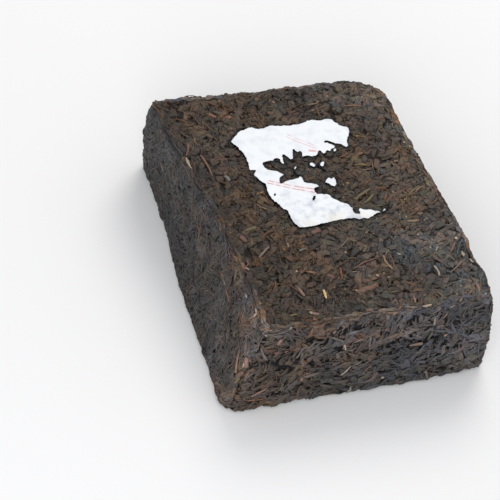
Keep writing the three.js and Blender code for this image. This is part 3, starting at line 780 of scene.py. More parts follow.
def makeLeafGroup():
    # dry leaf: streaks along the grain and mottling darken or lighten the tone; dust greys the mottled crests
    # where the Light input, the light left by the painted shade, lets it
    group, given, result = newGroup("leafGrain", {
        "Grain": "Vector", "Place": "Vector", "Tone": "Color", "Light": 1.0, "Streaks": 0.5, "Dust": 0.2})
    times, plus, less = arithmetic(group)
    stretch = addNode(group, "ShaderNodeMapping", {}, {"Scale": leafGrain["stretch"]})
    wire(group, (given.outputs["Grain"], stretch.inputs["Vector"]))
    streak = noiseValue(group, stretch.outputs["Vector"], *leafGrain["streaks"])
    mottle, fine, patch = (noiseValue(group, given.outputs["Place"], *leafGrain[key])
                           for key in ("mottle", "fine", "patch"))
    swing = times(less(streak, 0.5), given.outputs["Streaks"])
    swing = plus(swing, times(less(mottle, 0.5), leafGrain["mottled"]))
    swing = plus(swing, times(less(patch, 0.5), leafGrain["patched"]))
    bright = math2(group, "MAXIMUM", plus(swing, 1.0), leafGrain["darkest"])
    scaled = addNode(group, "ShaderNodeVectorMath", {"operation": "SCALE"})
    dusty = times(ramp(group, mottle, *leafGrain["dusty"]), given.outputs["Dust"])
    dusty = times(dusty, given.outputs["Light"])
    rough, streakRough, dustRough = leafGrain["rough"]
    streakHeight, fineHeight = leafGrain["height"]
    wire(group, (given.outputs["Tone"], scaled.inputs[0]), (bright, scaled.inputs["Scale"]),
         (mixColour(group, dusty, scaled.outputs[0], linear(leafGrain["dust"])), result.inputs["Colour"]),
         (plus(plus(times(streak, streakRough), rough), times(dusty, dustRough)), result.inputs["Roughness"]),
         (plus(times(streak, streakHeight), times(fine, fineHeight)), result.inputs["Height"]))
    return group


def leafMaterial(name, group, streaks, dust, specular):
    # the leaf group, fed by each piece's own tone with its painted shade, the light left by that shade, and
    # grain
    material, tree, leaf, _, baseColour = surfaceMaterial(
        name, group, {"Streaks": streaks, "Dust": dust}, specular, leafGrain["bump"])
    grain, tone = (addNode(tree, "ShaderNodeAttribute", {"attribute_name": label})
                   for label in ("grain", "toneWithPaintedShade"))
    wire(tree, (grain.outputs["Vector"], leaf.inputs["Grain"]), (tone.outputs["Color"], leaf.inputs["Tone"]),
         (tone.outputs["Alpha"], leaf.inputs["Light"]), (leaf.outputs["Colour"], baseColour))
    return material


coreLook = {
    "cells": (150, 202), "rows": 60, "baseRings": 9, "baseShrink": 0.97,
    "crumbs": ((0.35, 1.7), (0.22, 0.8)),             # height and size of the fine crumbs
    "underPaper": (0.4, 2),                           # share of them left under the paper, full past this
    "sunk": 0.45,                                     # below the strands that lie on it
    "arris": (0.9, 0.7), "baseArris": (1.4, 1.2),     # edges cut back, and down or up
    "baseRise": 0.62,                                 # the base is hollow by the leaves' thickness
    # tea between the strands, made much darker than the leaves as painted shade so the gaps read dark
    "topTone": (36, 31, 28), "wallTone": (27, 25, 25), "grain": (0.3, 1.0, 1.0),
}


def fineCrumbs(u, v, salt):
    # layered noise, sunk under the strands
    return layeredNoise(u, v, coreLook["crumbs"], salt) - coreLook["sunk"]


def makeCore(material):
    # top: a grid of the square's points; walls: rings that share the grid's edge; base: rings that shrink
    # to the middle
    nx, ny = coreLook["cells"]
    i, j = np.meshgrid(np.arange(nx + 1), np.arange(ny + 1), indexing="ij")
    top = topPoint(2 * i / nx - 1, 2 * j / ny - 1)
    left, grown = coreLook["underPaper"]
    share = left + (1 - left) * smooth(paperDistance(top[..., 0], top[..., 1]), 0, grown)
    top[..., 2] += fineCrumbs(top[..., 0], top[..., 1], 21) * share
    at = lambda a, b: a * (ny + 1) + b
    right, up = np.arange(nx), np.arange(ny)
    rim = np.concatenate([at(right, 0), at(nx, up), at(nx - right, ny), at(0, ny - up)])
    run = np.concatenate([start + (stop - start) * np.arange(n) / n
                          for start, stop, n in zip(rimStops[:-1], rimStops[1:], (nx, ny, nx, ny))])
    rows = coreLook["rows"]
    inset, fall = coreLook["arris"]
    baseInset, baseUp = coreLook["baseArris"]
    drops = np.append(np.linspace(0, 1 - baseUp / blockForm["height"], rows)[1:], 1.0)[:, None]
    crumbs = fineCrumbs(run[None], drops * blockForm["height"], 31)
    crumbs[-1] = -baseInset
    walls = wallPoint(run[None], drops) + wallNormal(run[None], drops) * crumbs[..., None]
    flat = top.reshape(-1, 3)
    flat[rim] += wallNormal(run, np.zeros(len(run))) * (wallHeight(run, 0 * run) - inset)[:, None]
    flat[rim, 2] -= fall
    rings = np.concatenate([rim[None], len(flat) + np.arange(rows * len(run)).reshape(rows, -1)])
    shrink = coreLook["baseShrink"] * np.linspace(1, 0, coreLook["baseRings"] + 1)[:-1]
    middle = walls[-1].mean(0)
    base = middle + (walls[-1][None] - middle) * shrink[:, None, None]
    base[..., 2] = middle[2] = coreLook["baseRise"]
    baseRings = rings[-1] + len(run) * np.arange(1, len(base) + 1)[:, None]
    points = np.concatenate([flat, walls.reshape(-1, 3), base.reshape(-1, 3), middle[None]])
    topQuads = gridQuads(nx + 1, ny + 1).reshape(-1, 4)
    allRings = np.concatenate([rings, baseRings])
    after = np.roll(allRings, -1, axis=1)
    wallQuads = np.stack([after[:-1], allRings[:-1], allRings[1:], after[1:]], -1).reshape(-1, 4)
    fan = np.stack([after[-1], allRings[-1], np.full(len(run), len(points) - 1)], -1)
    tones = np.ones((len(points), 4))
    tones[:, :3] = linear(coreLook["wallTone"])
    tones[:len(flat), :3] = linear(coreLook["topTone"])
    # painted shadow: the line beside the paper darkens the core's top as well
    tones[:len(flat)] *= paperEdge(flat[:, 0], flat[:, 1])[:, None]
    core = makePiece("teaCore", points, [topQuads, wallQuads, fan], material,
                     {"toneWithPaintedShade": tones, "grain": points * coreLook["grain"]})
    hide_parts("tea_brick")


# what each surface does to the tones of its strands, and to their depth and light
casts = {onTop: topCast, onWall: wallCast, onRim: rimCast, onBase: topCast}
folds = {onTop: topFolds, onWall: wallFolds, onRim: noFolds, onBase: noFolds}
topPalette = [   # screen colour and share, each next to the ones that it's most like
    ((70, 65, 51), 0.10), ((67, 59, 52), 0.20), ((78, 67, 57), 0.15), ((82, 65, 55), 0.09),
    ((72, 60, 54), 0.14), ((50, 44, 41), 0.09), ((61, 58, 56), 0.13), ((55, 57, 59), 0.10),
]
wallPalette = [
    ((60, 57, 50), 0.08), ((66, 59, 56), 0.18), ((73, 59, 53), 0.10), ((61, 56, 57), 0.26),
    ((50, 47, 49), 0.20), ((61, 61, 66), 0.18),
]
# stations along a strand, in its lengths
lump = (-0.5, -0.34, 0.0, 0.34, 0.5)
blunt = (-0.5, -0.43, -0.15, 0.15, 0.43, 0.5)
broken = (-0.5, -0.45, -0.24, 0.02, 0.26, 0.44, 0.5)
snapped = (-0.5, -0.47, -0.3, -0.1, 0.12, 0.3, 0.47, 0.5)
# millimetres, with bend, crinkle, roll and twist in radians
shapeKeys = ("length", "width", "thickness", "lift", "stations", "section",
             "bend", "crinkle", "roll", "twist", "wobble", "dive")
leafKinds = {kind: dict(zip(shapeKeys, row)) for kind, row in {
    "leaf": ((2.6, 6.5), (1.5, 3.0), (0.35, 0.6), (-0.3, 0.12), blunt, foldedSection,
             0.5, 0.18, 0.12, 0.3, 0.08, 0.25),
    "strand": ((3.0, 8.0), (0.8, 1.5), (0.5, 0.8), (-0.25, 0.30), blunt, rolledSection,
               0.7, 0.14, 0.3, 0.6, 0.07, 0.35),
    "flake": ((3.5, 8.0), (2.6, 4.8), (0.3, 0.5), (-0.32, 0.05), broken, foldedSection,
              0.3, 0.12, 0.07, 0.15, 0.08, 0.25),
    "crumb": ((0.8, 2.1), (0.8, 1.7), (0.5, 0.8), (-0.15, 0.2), lump, rolledSection,
              0.3, 0.3, 0.5, 0.4, 0.05, 0.15),
    "fibre": ((3.5, 9.0), (0.28, 0.55), (0.28, 0.45), (0.15, 0.5), blunt, rolledSection,
              0.9, 0.12, 0.2, 0.3, 0.05, 0.45),
}.items()}
fibrePalette = [((98, 88, 78), 0.4), ((90, 86, 84), 0.3), ((112, 92, 78), 0.2), ((126, 112, 98), 0.1)]
# how many of each kind, and how far each differs from the kinds above
layers = {
    "top": {"flake": 1500, "leaf": 2500, "strand": 1300, "crumb": 2800, "fibre": 160},
    "left": {"leaf": 2200, "strand": 1700, "crumb": 1400, "fibre": 140},
    "right": {"leaf": 1700, "strand": 1300, "crumb": 1100, "fibre": 140},
    "front": {"flake": 330, "leaf": 850, "strand": 500, "crumb": 700, "fibre": 60},
    "back": {"flake": 330, "leaf": 850, "strand": 500, "crumb": 700, "fibre": 60},
    "base": {"leaf": 1400},
}
sideShapes = {
    "leaf": {"length": (3.4, 7.5), "width": (1.0, 2.2), "lift": (-0.25, 0.12), "thickness": (0.35, 0.6),
             "wobble": 0.06},
    "strand": {"length": (3.5, 8.5), "width": (0.6, 1.1), "lift": (-0.2, 0.2), "thickness": (0.4, 0.7),
               "wobble": 0.06},
    "crumb": {"length": (0.7, 1.6), "width": (0.6, 1.3), "lift": (-0.15, 0.15), "thickness": (0.4, 0.7)},
    "fibre": {"lift": (0.1, 0.3)},
}
endShapes = {
    "flake": {"length": (4.0, 7.5), "width": (2.2, 3.8), "lift": (-0.6, 0.3), "roll": 0.2, "wobble": 0.16,
              "thickness": (0.5, 0.9)},
    "leaf": {"length": (3.2, 8.0), "width": (1.4, 2.8), "lift": (-0.7, 0.5), "roll": 0.25, "wobble": 0.13,
             "thickness": (0.6, 1.1)},
    "strand": {"width": (1.0, 1.7), "lift": (-0.5, 0.6), "thickness": (0.7, 1.1)},
}
baseShape = {"length": (3.0, 8.0), "width": (1.8, 3.8), "stations": lump, "lift": (-0.75, -0.35),
             "thickness": (0.4, 0.6), "roll": 0.05, "twist": 0.1}


# millimetres over the tea: under the paper, and how far out and how fast there is more
paperRoom = {"under": 0.28, "from": 0.3, "reach": 2, "rise": 0.9}


def paperCap(point):
    # strands under the paper stay below it; away from its edge they may stand higher
    away = paperDistance(point[..., 0], point[..., 1]) - paperRoom["from"]
    return paperRoom["under"] + paperRoom["rise"] * np.clip(away, 0, paperRoom["reach"])


topLay = {   # radians, with sizes in millimetres
    "clump": (1.4 * math.pi, 9, 0.6, 4), "loose": 0.7,     # turn, size, share and size of the finer clumps
    "common": (0.8, -0.6, 0.35), "commonShare": 0.3,       # middle, change to the right, looseness
    "edge": 1.525, "sideLoose": 0.5, "endLoose": 0.4,
    "bare": {"leaf": 0.35, "strand": 0.2, "crumb": 0.25},  # patches stay bare where noise exceeds this
    "bareSize": 7, "bareLoose": 0.15, "underPaper": -3.5, "past": 0.3,
}


def topAngles(u, v, rng):
    # clumps that lie one way, loosened at random, and turned along the rim near the edges
    count, (turn, size, finer, fineSize) = len(u), topLay["clump"]
    clumps = softNoise(u / size, v / size, 7) + finer * softNoise(u / fineSize, v / fineSize, 8)
    angle = turn * clumps + rng.normal(0, topLay["loose"], count)
    middle, change, loose = topLay["common"]
    common = middle + change * u / blockForm["width"] + rng.normal(0, loose, count)
    angle = np.where(rng.uniform(0, 1, count) < topLay["commonShare"], common, angle)
    nearSide, nearEnd = (blockForm[side] / 2 - np.abs(place) < topLay["edge"]
                         for side, place in (("width", u), ("length", v)))
    angle = np.where(nearSide, math.pi / 2 + rng.normal(0, topLay["sideLoose"], count), angle)
    return np.where(nearEnd, rng.normal(0, topLay["endLoose"], count), angle)


# mean and spread; then the patches' turn and sizes, and the edges' reach and the share of the turn left there
wallLay = {"front": (-0.45, 0.8), "right": (-1.3, 0.65), "back": (-0.45, 0.8), "left": (-1.3, 0.65)}
wallTurn = {"patch": (0.8, 7, 6), "edge": (1.5, 0.3)}


def wallAngles(u, v, mean, spread, rng):
    # wide scatter about the wall's own direction; along its upper and lower edges near them
    (turn, along, across), (edge, left) = wallTurn["patch"], wallTurn["edge"]
    angle = mean + rng.normal(0, spread, len(u)) + turn * softNoise(u / along, v / across, 9)
    near = np.minimum(v, blockForm["height"] - v) < edge
    return np.where(near, (angle - mean) * left, angle)


lightCrumbs = [((104, 84, 72), 0.1), ((122, 104, 90), 0.06), ((144, 126, 108), 0.02)]


def makeTopLeaves(material):
    # each kind in even places over the face, thinned where patches are bare
    rng = np.random.default_rng(11)
    w, l = blockForm["width"] / 2, blockForm["length"] / 2
    past, size = topLay["past"], topLay["bareSize"]
    for kind, count in layers["top"].items():
        u, v = evenPlaces((-w, -l), (w, l), count, rng)
        keep = paperDistance(u, v) > topLay["underPaper"]
        if kind in topLay["bare"]:
            noise = softNoise(u / size, v / size, 91) + rng.normal(0, topLay["bareLoose"], len(u))
            keep &= noise < topLay["bare"][kind]
        u, v = u[keep], v[keep]
        room = ((-w - past, -l - past), (w + past, l + past))
        palette = fibrePalette if kind == "fibre" else topPalette + (lightCrumbs if kind == "crumb" else [])
        strands = layStrands(onTop, u, v, topAngles(u, v, rng), leafKinds[kind], palette, rng, room, paperCap)
        strandMesh("top" + kind.capitalize(), [strands], material)


# where the middles of strands and their ends stay, in millimetres, and the share of a crack that keeps them off
wallMargin = {"top": 0.2, "foot": 0.3, "roomTop": 0.1, "roomFoot": 0.35, "past": 0.8, "crack": 0.6}


def makeWallLeaves(material):
    # each kind in even places over each wall, left out where a crack is deep
    height, past = blockForm["height"], wallMargin["past"]
    for index, (wall, (mean, spread)) in enumerate(wallLay.items()):
        rng = np.random.default_rng(12 + 20 * index)
        start, end = rimStops[index], rimStops[index + 1]
        room = ((start - past, wallMargin["roomTop"]), (end + past, height - wallMargin["roomFoot"]))
        for kind, count in layers[wall].items():
            u, v = evenPlaces((start, wallMargin["top"]), (end, height - wallMargin["foot"]), count, rng)
            keep = crackShare(u, v) < wallMargin["crack"]
            u, v = u[keep], v[keep]
            own = sideShapes if wall in ("left", "right") else endShapes
            shape = {**leafKinds[kind], **own.get(kind, {})}
            palette = fibrePalette if kind == "fibre" else wallPalette
            strands = layStrands(onWall, u, v, wallAngles(u, v, mean, spread, rng), shape, palette, rng, room)
            strandMesh(wall + kind.capitalize(), [strands], material)


rimLook = {
    # light: a painted highlight along the crest, its strength and reach
    "round": 0.5, "reach": 1.5, "count": 1250, "spread": 0.2, "light": (0.3, 0.9), "warmth": 0.02,
    "shape": {"lift": (-0.3, 0.15), "length": (2.6, 6.0)},
}


def makeRimLeaves(material):
    # strands along the crest between the top face and the walls
    rng = np.random.default_rng(15)
    reach = rimLook["reach"]
    u, v = evenPlaces((0, -reach), (rimStops[-1], reach), rimLook["count"], rng)
    shape = {**leafKinds["leaf"], **sideShapes["leaf"], **rimLook["shape"]}
    angle = rng.normal(0, rimLook["spread"], len(u))
    strandMesh("rimLeaf", [layStrands(onRim, u, v, angle, shape, topPalette + wallPalette, rng)], material)


baseLay = {"margin": 1.5, "above": -0.02}


def makeBaseLeaves(material):
    # leaves every way over the foot, kept just above the floor
    rng = np.random.default_rng(13)
    w, l = (blockForm[side] / 2 - baseLay["margin"] for side in ("width", "length"))
    low, high = (-w, -l), (w, l)
    u, v = evenPlaces(low, high, layers["base"]["leaf"], rng)
    floor = lambda point: np.full(point.shape[:-1], baseLay["above"])
    angle, shape = rng.uniform(0, math.pi, len(u)), {**leafKinds["leaf"], **baseShape}
    strands = layStrands(onBase, u, v, angle, shape, wallPalette, rng, (low, high), floor)
    strandMesh("baseLeaf", [strands], material)


standOut = {
    "gold": (214, 184, 134), "orange": (124, 88, 68), "rust": (106, 76, 65), "red": (102, 70, 64),
    "cream": (168, 150, 132), "pink": (134, 106, 97), "olive": (98, 88, 62), "grey": (108, 106, 102),
    "tan": (126, 108, 94), "dusk": (98, 88, 84), "amber": (104, 80, 66), "silver": (142, 140, 138),
    "ginger": (142, 108, 84), "brick": (120, 82, 74), "sage": (122, 118, 104),
}
marks = {   # from, to, width, thickness, lift, bend, colour
    "top": [
        (-22, -54.3, -22.2, -58.8, 1.7, 1, 0.5, 0.3, "gold"),
        (-20.8, -55, -20.6, -58.6, 1.6, 0.8, 0.2, -0.2, "rust"),
        (-47.7, 32.7, -47, 18.4, 1.2, 0.9, 0.5, 0.5, "orange"),
        (-50.9, 40.8, -54.2, 32.4, 1.5, 0.9, 0.5, 0.4, "rust"),
        (-54.6, 31.6, -53.8, 25, 1.2, 0.8, 0.5, -0.5, "cream"),
        (-36, 57.1, -33.3, 54, 2, 0.8, 0.4, 0.2, "orange"),
        (-5.2, -44.7, 10.4, -39.1, 1, 0.8, 0.4, 0.2, "rust"),
        (-8, -58.2, 2.6, -55.6, 3.6, 0.5, 0.15, 0.3, "amber"),
        (-5.4, -56.6, 2.4, -54.9, 1.6, 0.6, 0.25, -0.3, "orange"),
        (3.6, -50.1, 4, -51.5, 1.4, 0.9, 0.3, 0.1, "cream"),
        (8.4, -51.3, 9.2, -52.7, 1.5, 0.8, 0.2, 0.2, "tan"),
        (-29.2, -40.8, -29.4, -42.4, 1.3, 0.9, 0.3, 0.1, "cream"),
        (-31.9, -64.7, -31, -65.6, 1.6, 1, 0.5, 0.1, "cream"),
        (-31.2, -65, -28.2, -66.7, 2, 0.8, 0.2, 0.2, "pink"),
        (31.5, -48.1, 31.8, -54, 1.2, 0.8, 0.4, 0.6, "cream"),
        (11.4, -4.9, 20.6, 0.1, 1.6, 0.7, 0.4, 0.2, "olive"),
        (13.2, -8.4, 21, -3.2, 1.5, 0.6, 0.3, -0.2, "olive"),
        (36.8, -5.5, 44.7, -0.4, 1.3, 0.6, 0.3, 0.2, "olive"),
        (-41.3, 18.4, -40.3, 14.4, 2.2, 0.6, 0.3, 0.8, "grey"),
        (15.3, -63.6, 14.4, -68, 1.1, 0.8, 0.5, 0.3, "pink"),
        (17.2, -69.6, 21.6, -69.4, 1, 0.8, 0.5, 0.05, "cream"),
        (-27.3, -69, -19.4, -69.5, 0.9, 0.6, 0.3, 0.1, "tan"),
        (-17.5, -69, -6.2, -69.4, 0.7, 0.5, 0.3, 0.05, "grey"),
        (-6, -69.3, 6.3, -69.6, 0.8, 0.5, 0.3, -0.05, "dusk"),
        (10.6, -69.2, 15.1, -69.6, 0.9, 0.7, 0.4, 0.1, "tan"),
        (-14.8, -21.2, -10.4, -19.5, 3.2, 0.6, 0.4, 0.2, "rust"),
        (-43.6, -15.3, -37.6, -14.4, 2.4, 0.6, 0.3, 0.2, "olive"),
        (-46.8, -18.9, -45.1, -22.3, 2.4, 0.7, 0.4, 0.3, "rust"),
        (-32.4, -50.9, -30.6, -55.7, 1.4, 0.8, 0.4, 0.2, "pink"),
        (-25.8, -42.5, -22.1, -45, 1.5, 0.7, 0.3, 0.2, "orange"),
        (-17.4, -45.9, -14.5, -48.7, 1.7, 0.7, 0.3, 0.2, "red"),
        (-27.5, -25.1, -27.7, -27.6, 1.2, 0.7, 0.3, 0.2, "tan"),
        (-24, -30.4, -20.1, -29.3, 1.4, 0.6, 0.3, 0.3, "grey"),
        (-42.2, -31, -36.1, -26.2, 1.3, 0.7, 0.3, 0.3, "tan"),
        (-48.6, -32.2, -50.6, -35.8, 1.1, 0.9, 0.6, 2.6, "rust"),
        (-50.8, -36.4, -49.4, -38.4, 1.4, 1, 0.7, 1.6, "pink"),
        (47.6, -41.7, 47.1, -45, 1.6, 0.9, 0.9, 0.3, "cream"),
        (48.9, -46.4, 50.3, -49, 1.7, 0.9, 1.1, 0.3, "cream"),
        (46, -46.2, 37, -53.2, 0.9, 0.6, 0.3, 0.4, "tan"),
    ],
    "wall": [
        (41.5, 29.1, 45.7, 26.6, 1, 0.8, 0.5, 0.05, "cream"),
        (46.7, 26.3, 49.1, 23.6, 1.1, 0.8, 0.4, 0.1, "grey"),
        (7.1, 32, 12.1, 28.6, 1.1, 0.9, 0.6, 0.05, "pink"), (0.6, 3.6, 9.6, 0.7, 0.9, 0.7, 0.3, 0.1, "dusk"),
        (0.5, 4.1, 0.2, 2.6, 1.5, 1, 0.5, 0.1, "silver"), (9, 0.9, 10.2, 0.4, 1.5, 0.8, 0.4, 0.1, "silver"),
        (88.6, 26.8, 92.9, 24.9, 0.9, 0.8, 0.5, 0.1, "pink"), (7.3, 7.6, 8, 5, 2, 1.1, 0.6, 0.2, "pink"),
        (485.3, 14.6, 486.6, 18.8, 3, 1.6, 0.6, 0.2, "pink"),
        # painted highlight: this cream streak raised on the pink nub stands in for its highlight
        (485.5, 16.9, 485.9, 18.4, 1.2, 1, 1.4, 0.1, "cream"),
        (479.6, 17.5, 483.8, 23.7, 1.3, 1, 0.5, 0.1, "ginger"),
        (486.6, 21, 484.8, 26, 2.2, 1.1, 0.5, 0.2, "amber"), (1, 20, 1.4, 25, 2, 1, 0.4, 0.2, "amber"),
        (486.2, 24.2, 485.6, 27.6, 1.8, 0.9, 0.4, 0.2, "olive"),
        (486.6, 29.1, 486.9, 34.3, 1.6, 0.9, 0.4, 0.2, "amber"),
        (464.8, 2.7, 466.6, 3, 1.3, 0.8, 0.4, 0.1, "silver"),
        (470.4, 2.2, 474, 2.1, 1.3, 0.8, 0.4, 0.2, "orange"),
        (473.8, 2.4, 476.8, 3.2, 1.3, 0.8, 0.4, -0.2, "amber"),
        (475.1, 0.8, 476.9, 0.9, 1.3, 0.9, 0.6, 0.1, "cream"),
        (477.3, 0.8, 477.2, 2.9, 1.4, 0.9, 0.7, 0.2, "cream"),
        (476.8, 0.5, 480.6, 1.5, 1.4, 0.9, 0.4, -0.2, "orange"),
        (12.6, 12.1, 14.4, 12.1, 1.5, 0.8, 0.5, 0.2, "brick"),
        (7.6, 11.3, 10.4, 11.8, 1.4, 0.8, 0.4, 0.2, "brick"),
        (38.1, 13, 39.3, 15.6, 1.1, 0.8, 0.5, 0.2, "cream"),
        (39.3, 15.6, 43.8, 15.3, 1.4, 0.9, 0.5, 0.3, "dusk"),
        (30.3, 8.2, 37, 11.2, 1.5, 0.9, 0.5, -0.5, "dusk"), (0.9, 8.6, 6.6, 14.3, 1.6, 0.9, 0.4, 0.4, "dusk"),
        (22.7, 13.6, 24.2, 8.1, 1.5, 0.9, 0.5, 0.2, "dusk"), (21.8, 18.5, 20.9, 14, 1.4, 0.8, 0.5, 0.2, "dusk"),
        (18.7, 15.8, 21.1, 11.6, 1.4, 0.9, 0.5, 0.3, "dusk"),
        (48.9, 37, 47.7, 41.2, 1.6, 0.6, 0.4, 0.2, "sage"), (53.4, 7.6, 55.4, 7.9, 2.2, 0.8, 0.4, 0.2, "brick"),
        (25.6, 28.7, 25.6, 26.7, 1.8, 1.1, 0.6, 0.1, "pink"),
        (26.1, 27.1, 32.2, 26.1, 1.8, 0.9, 0.4, 0.2, "dusk"),
        (59.8, 35.7, 61, 35.5, 1.3, 0.9, 0.5, 0.1, "cream"), (67.8, 20.5, 73.2, 19.7, 2, 1.1, 0.6, 0.2, "tan"),
        (80.9, 15.6, 82.8, 16.8, 2.2, 1.1, 0.6, 0.1, "pink"), (83, 26.6, 82.2, 21.4, 2.6, 1, 0.4, 0.1, "dusk"),
        (79.4, 40.7, 77.8, 36, 1.8, 0.8, 0.4, 0.2, "dusk"), (50, 18, 48.1, 9.6, 1.6, 0.9, 0.4, 0.3, "dusk"),
        (36.3, 16.8, 38.4, 20.7, 2.4, 0.9, 0.4, 0.2, "dusk"), (31, 6.8, 31.7, 5.5, 1.6, 0.9, 0.5, 0.1, "pink"),
        (27.5, 5.4, 29.9, 6.6, 1.8, 0.9, 0.4, 0.2, "dusk"), (81.5, 3, 84.1, 1.2, 1.2, 0.8, 0.4, 0.1, "tan"),
        (439.5, 2, 444, 2.4, 1, 0.8, 0.4, 0.2, "red"), (451, 11.4, 457.5, 12.8, 0.9, 0.7, 0.3, 0.2, "orange"),
        (443.4, 10.5, 449.8, 11.2, 0.8, 0.6, 0.3, 0.2, "pink"),
        (371.7, 16.4, 376.5, 18.1, 0.9, 0.6, 0.3, 0.2, "grey"),
        (414.7, 11.4, 418.6, 12.2, 1, 0.6, 0.3, 0.2, "rust"),
    ],
}
stemForm = {"skew": 0.35, "taper": (0.2, 0.6), "ragged": (0.65, 1.15), "thinnest": 0.2, "wobble": 0.05}
scatteredStems = {
    "top": {"length": (4, 10), "width": (0.7, 1.3), "lift": (0.05, 0.4), "section": roundSection},
    "wall": {"length": (4, 10), "width": (0.5, 1.0), "lift": (0.05, 0.3), "section": roundSection},
    "count": (90, 40), "offPaper": 4, "wallAngle": (-0.1, 0.4),
    "palette": [((108, 80, 64), 0.34), ((98, 72, 62), 0.3), ((116, 100, 82), 0.2), ((130, 114, 98), 0.1),
                ((90, 84, 62), 0.16)],
}


def makeStandOut(material):
    # the marked ones lie along their chords, bowed by a square, and taper as strands do; others are strewn
    rng = np.random.default_rng(14)
    t = np.array(snapped)[None]
    strands = []
    for face, surface in (("top", onTop), ("wall", onWall)):
        values = np.array([row[:8] for row in marks[face]])
        start, end = values[:, :2], values[:, 2:4]
        if face == "top":
            start[:, 0], end[:, 0] = unbowed(*start.T), unbowed(*end.T)
        width, thickness, lift, bend = values[:, 4:].T[..., None]
        chord = np.linalg.norm(end - start, axis=1)[:, None]
        run, middle = (end - start) / chord, (start + end) / 2
        bow = bend * chord * (0.25 - t * t) / 2
        u = middle[:, :1] + run[:, :1] * chord * t - run[:, 1:] * bow
        v = middle[:, 1:] + run[:, 1:] * chord * t + run[:, :1] * bow
        point, normal = surface(u, v)
        side, outward = sideAndOut(point, normal)
        full = fullness(stemForm, t, len(u), rng)
        strands.append({
            "centre": point + normal * (lift + rng.normal(0, stemForm["wobble"], u.shape))[..., None],
            "sideways": side, "outward": outward, "half": width / 2 * full, "thick": thickness * full,
            "tone": linear([standOut[row[8]] for row in marks[face]]),
            "dim": np.ones(u.shape), "section": roundSection,
        })
    strandMesh("brightStems", strands, material)
    palette, (topCount, wallCount) = scatteredStems["palette"], scatteredStems["count"]
    shape = {**leafKinds["strand"], **scatteredStems["top"]}
    u, v = evenPlaces((-50, -68), (50, 68), topCount, rng)
    keep = paperDistance(u, v) > scatteredStems["offPaper"]
    u, v = u[keep], v[keep]
    onFace = layStrands(onTop, u, v, rng.uniform(0, math.pi, len(u)), shape, palette, rng)
    shape, end = {**leafKinds["strand"], **scatteredStems["wall"]}, rimStops[-1]
    u, v = evenPlaces((0, 3), (end, 39), wallCount, rng)
    angle = rng.normal(*scatteredStems["wallAngle"], len(u))
    onSides = layStrands(onWall, u, v, angle, shape, palette, rng, ((-9, 0.2), (end, 41)))
    strandMesh("scatteredStems", [onFace, onSides], material)


paperLook = {
    "cell": 0.3, "scrapCell": 0.12, "thickness": 0.16, "rimThickness": (0.05, 0.8), "float": (0.12, 0.01),
    "tear": ((0.18, 1.1), (0.12, 0.5)), "wholeTear": 0.2,          # depth and size, full from this cell
    "crumple": ((0.22, 4.6), (0.10, 1.7)),                         # height and size of the creases
    "curl": (0.45, 4, 1.1),                                        # height, size along the tear, reach
    "holes": ((-22.9, 3.7, 0.95, 0.35), (-6.3, -1.0, 2.0, 0.5)),   # x, y, reach along and across
    "holeTurn": 0.95,
}


def paperSheet(name, outline, cell, material, node):
    # a square grid over the outline; cells past the torn line are dropped and the line's points pulled onto it;
    # the sheet follows its bed with creases, and thins towards the tear
    low, high = outline.min(0) - 3 * cell, outline.max(0) + 3 * cell
    xs, ys = np.arange(low[0], high[0], cell), np.arange(low[1], high[1], cell)
    x, y = np.meshgrid(xs, ys, indexing="ij")
    ragged = min(1, cell / paperLook["wholeTear"]) * layeredNoise(x, y, paperLook["tear"], 51)
    distance = outlineDistance(x, y, outline) + ragged
    turnC, turnS = math.cos(paperLook["holeTurn"]), math.sin(paperLook["holeTurn"])
    for hx, hy, longReach, shortReach in paperLook["holes"]:
        a, b = (x - hx) * turnC + (y - hy) * turnS, (y - hy) * turnC - (x - hx) * turnS
        distance = np.maximum(distance, shortReach * (1 - np.hypot(a / longReach, b / shortReach)))
    gx, gy = np.gradient(distance, cell)
    steep = np.maximum(gx * gx + gy * gy, 0.25)
    pull = np.where(distance > -0.3 * cell, distance, 0)
    x, y = x - gx / steep * pull, y - gy / steep * pull
    inner = np.clip(-distance, 0, None)
    lift, lowest = paperLook["float"]
    lift = lift + layeredNoise(x, y, paperLook["crumple"], 61)
    curl, size, reach = paperLook["curl"]
    curl = curl * np.clip(softNoise(x / size, y / size, 71), 0, 1) * np.exp(-inner / reach)
    under = blockForm["height"] + bedHeight(x, y) + np.clip(lift, lowest, None) + curl
    thin, reach = paperLook["rimThickness"]
    thin = thin + (paperLook["thickness"] - thin) * np.clip(inner / reach, 0, 1)
    ok = distance < 0.6 * cell
    whole = ok[:-1, :-1] & ok[1:, :-1] & ok[1:, 1:] & ok[:-1, 1:]
    quads = gridQuads(len(xs), len(ys))[whole]
    used, quads = np.unique(quads, return_inverse=True)
    quads = quads.reshape(-1, 4)
    count = len(used)
    x, y, under, thin, inner = (g.ravel()[used] for g in (x, y, under, thin, inner))
    points = np.concatenate([np.stack([x, y, under + thin], -1), np.stack([x, y, under], -1)])
    edges = np.concatenate([quads[:, [k, (k + 1) % 4]] for k in range(4)])
    _, first, times = np.unique(edges.min(1) * count + edges.max(1), return_index=True, return_counts=True)
    rim = edges[first[times == 1]]
    sides = np.stack([rim[:, 0], rim[:, 0] + count, rim[:, 1] + count, rim[:, 1]], -1)
    tear = np.zeros((2 * count, 3))
    tear[:, 0] = np.tile(inner, 2)
    sheet = makePiece(name, points, [quads, quads[:, ::-1] + count, sides], material,
                      {"tear": tear})
    if node:
        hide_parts(node)
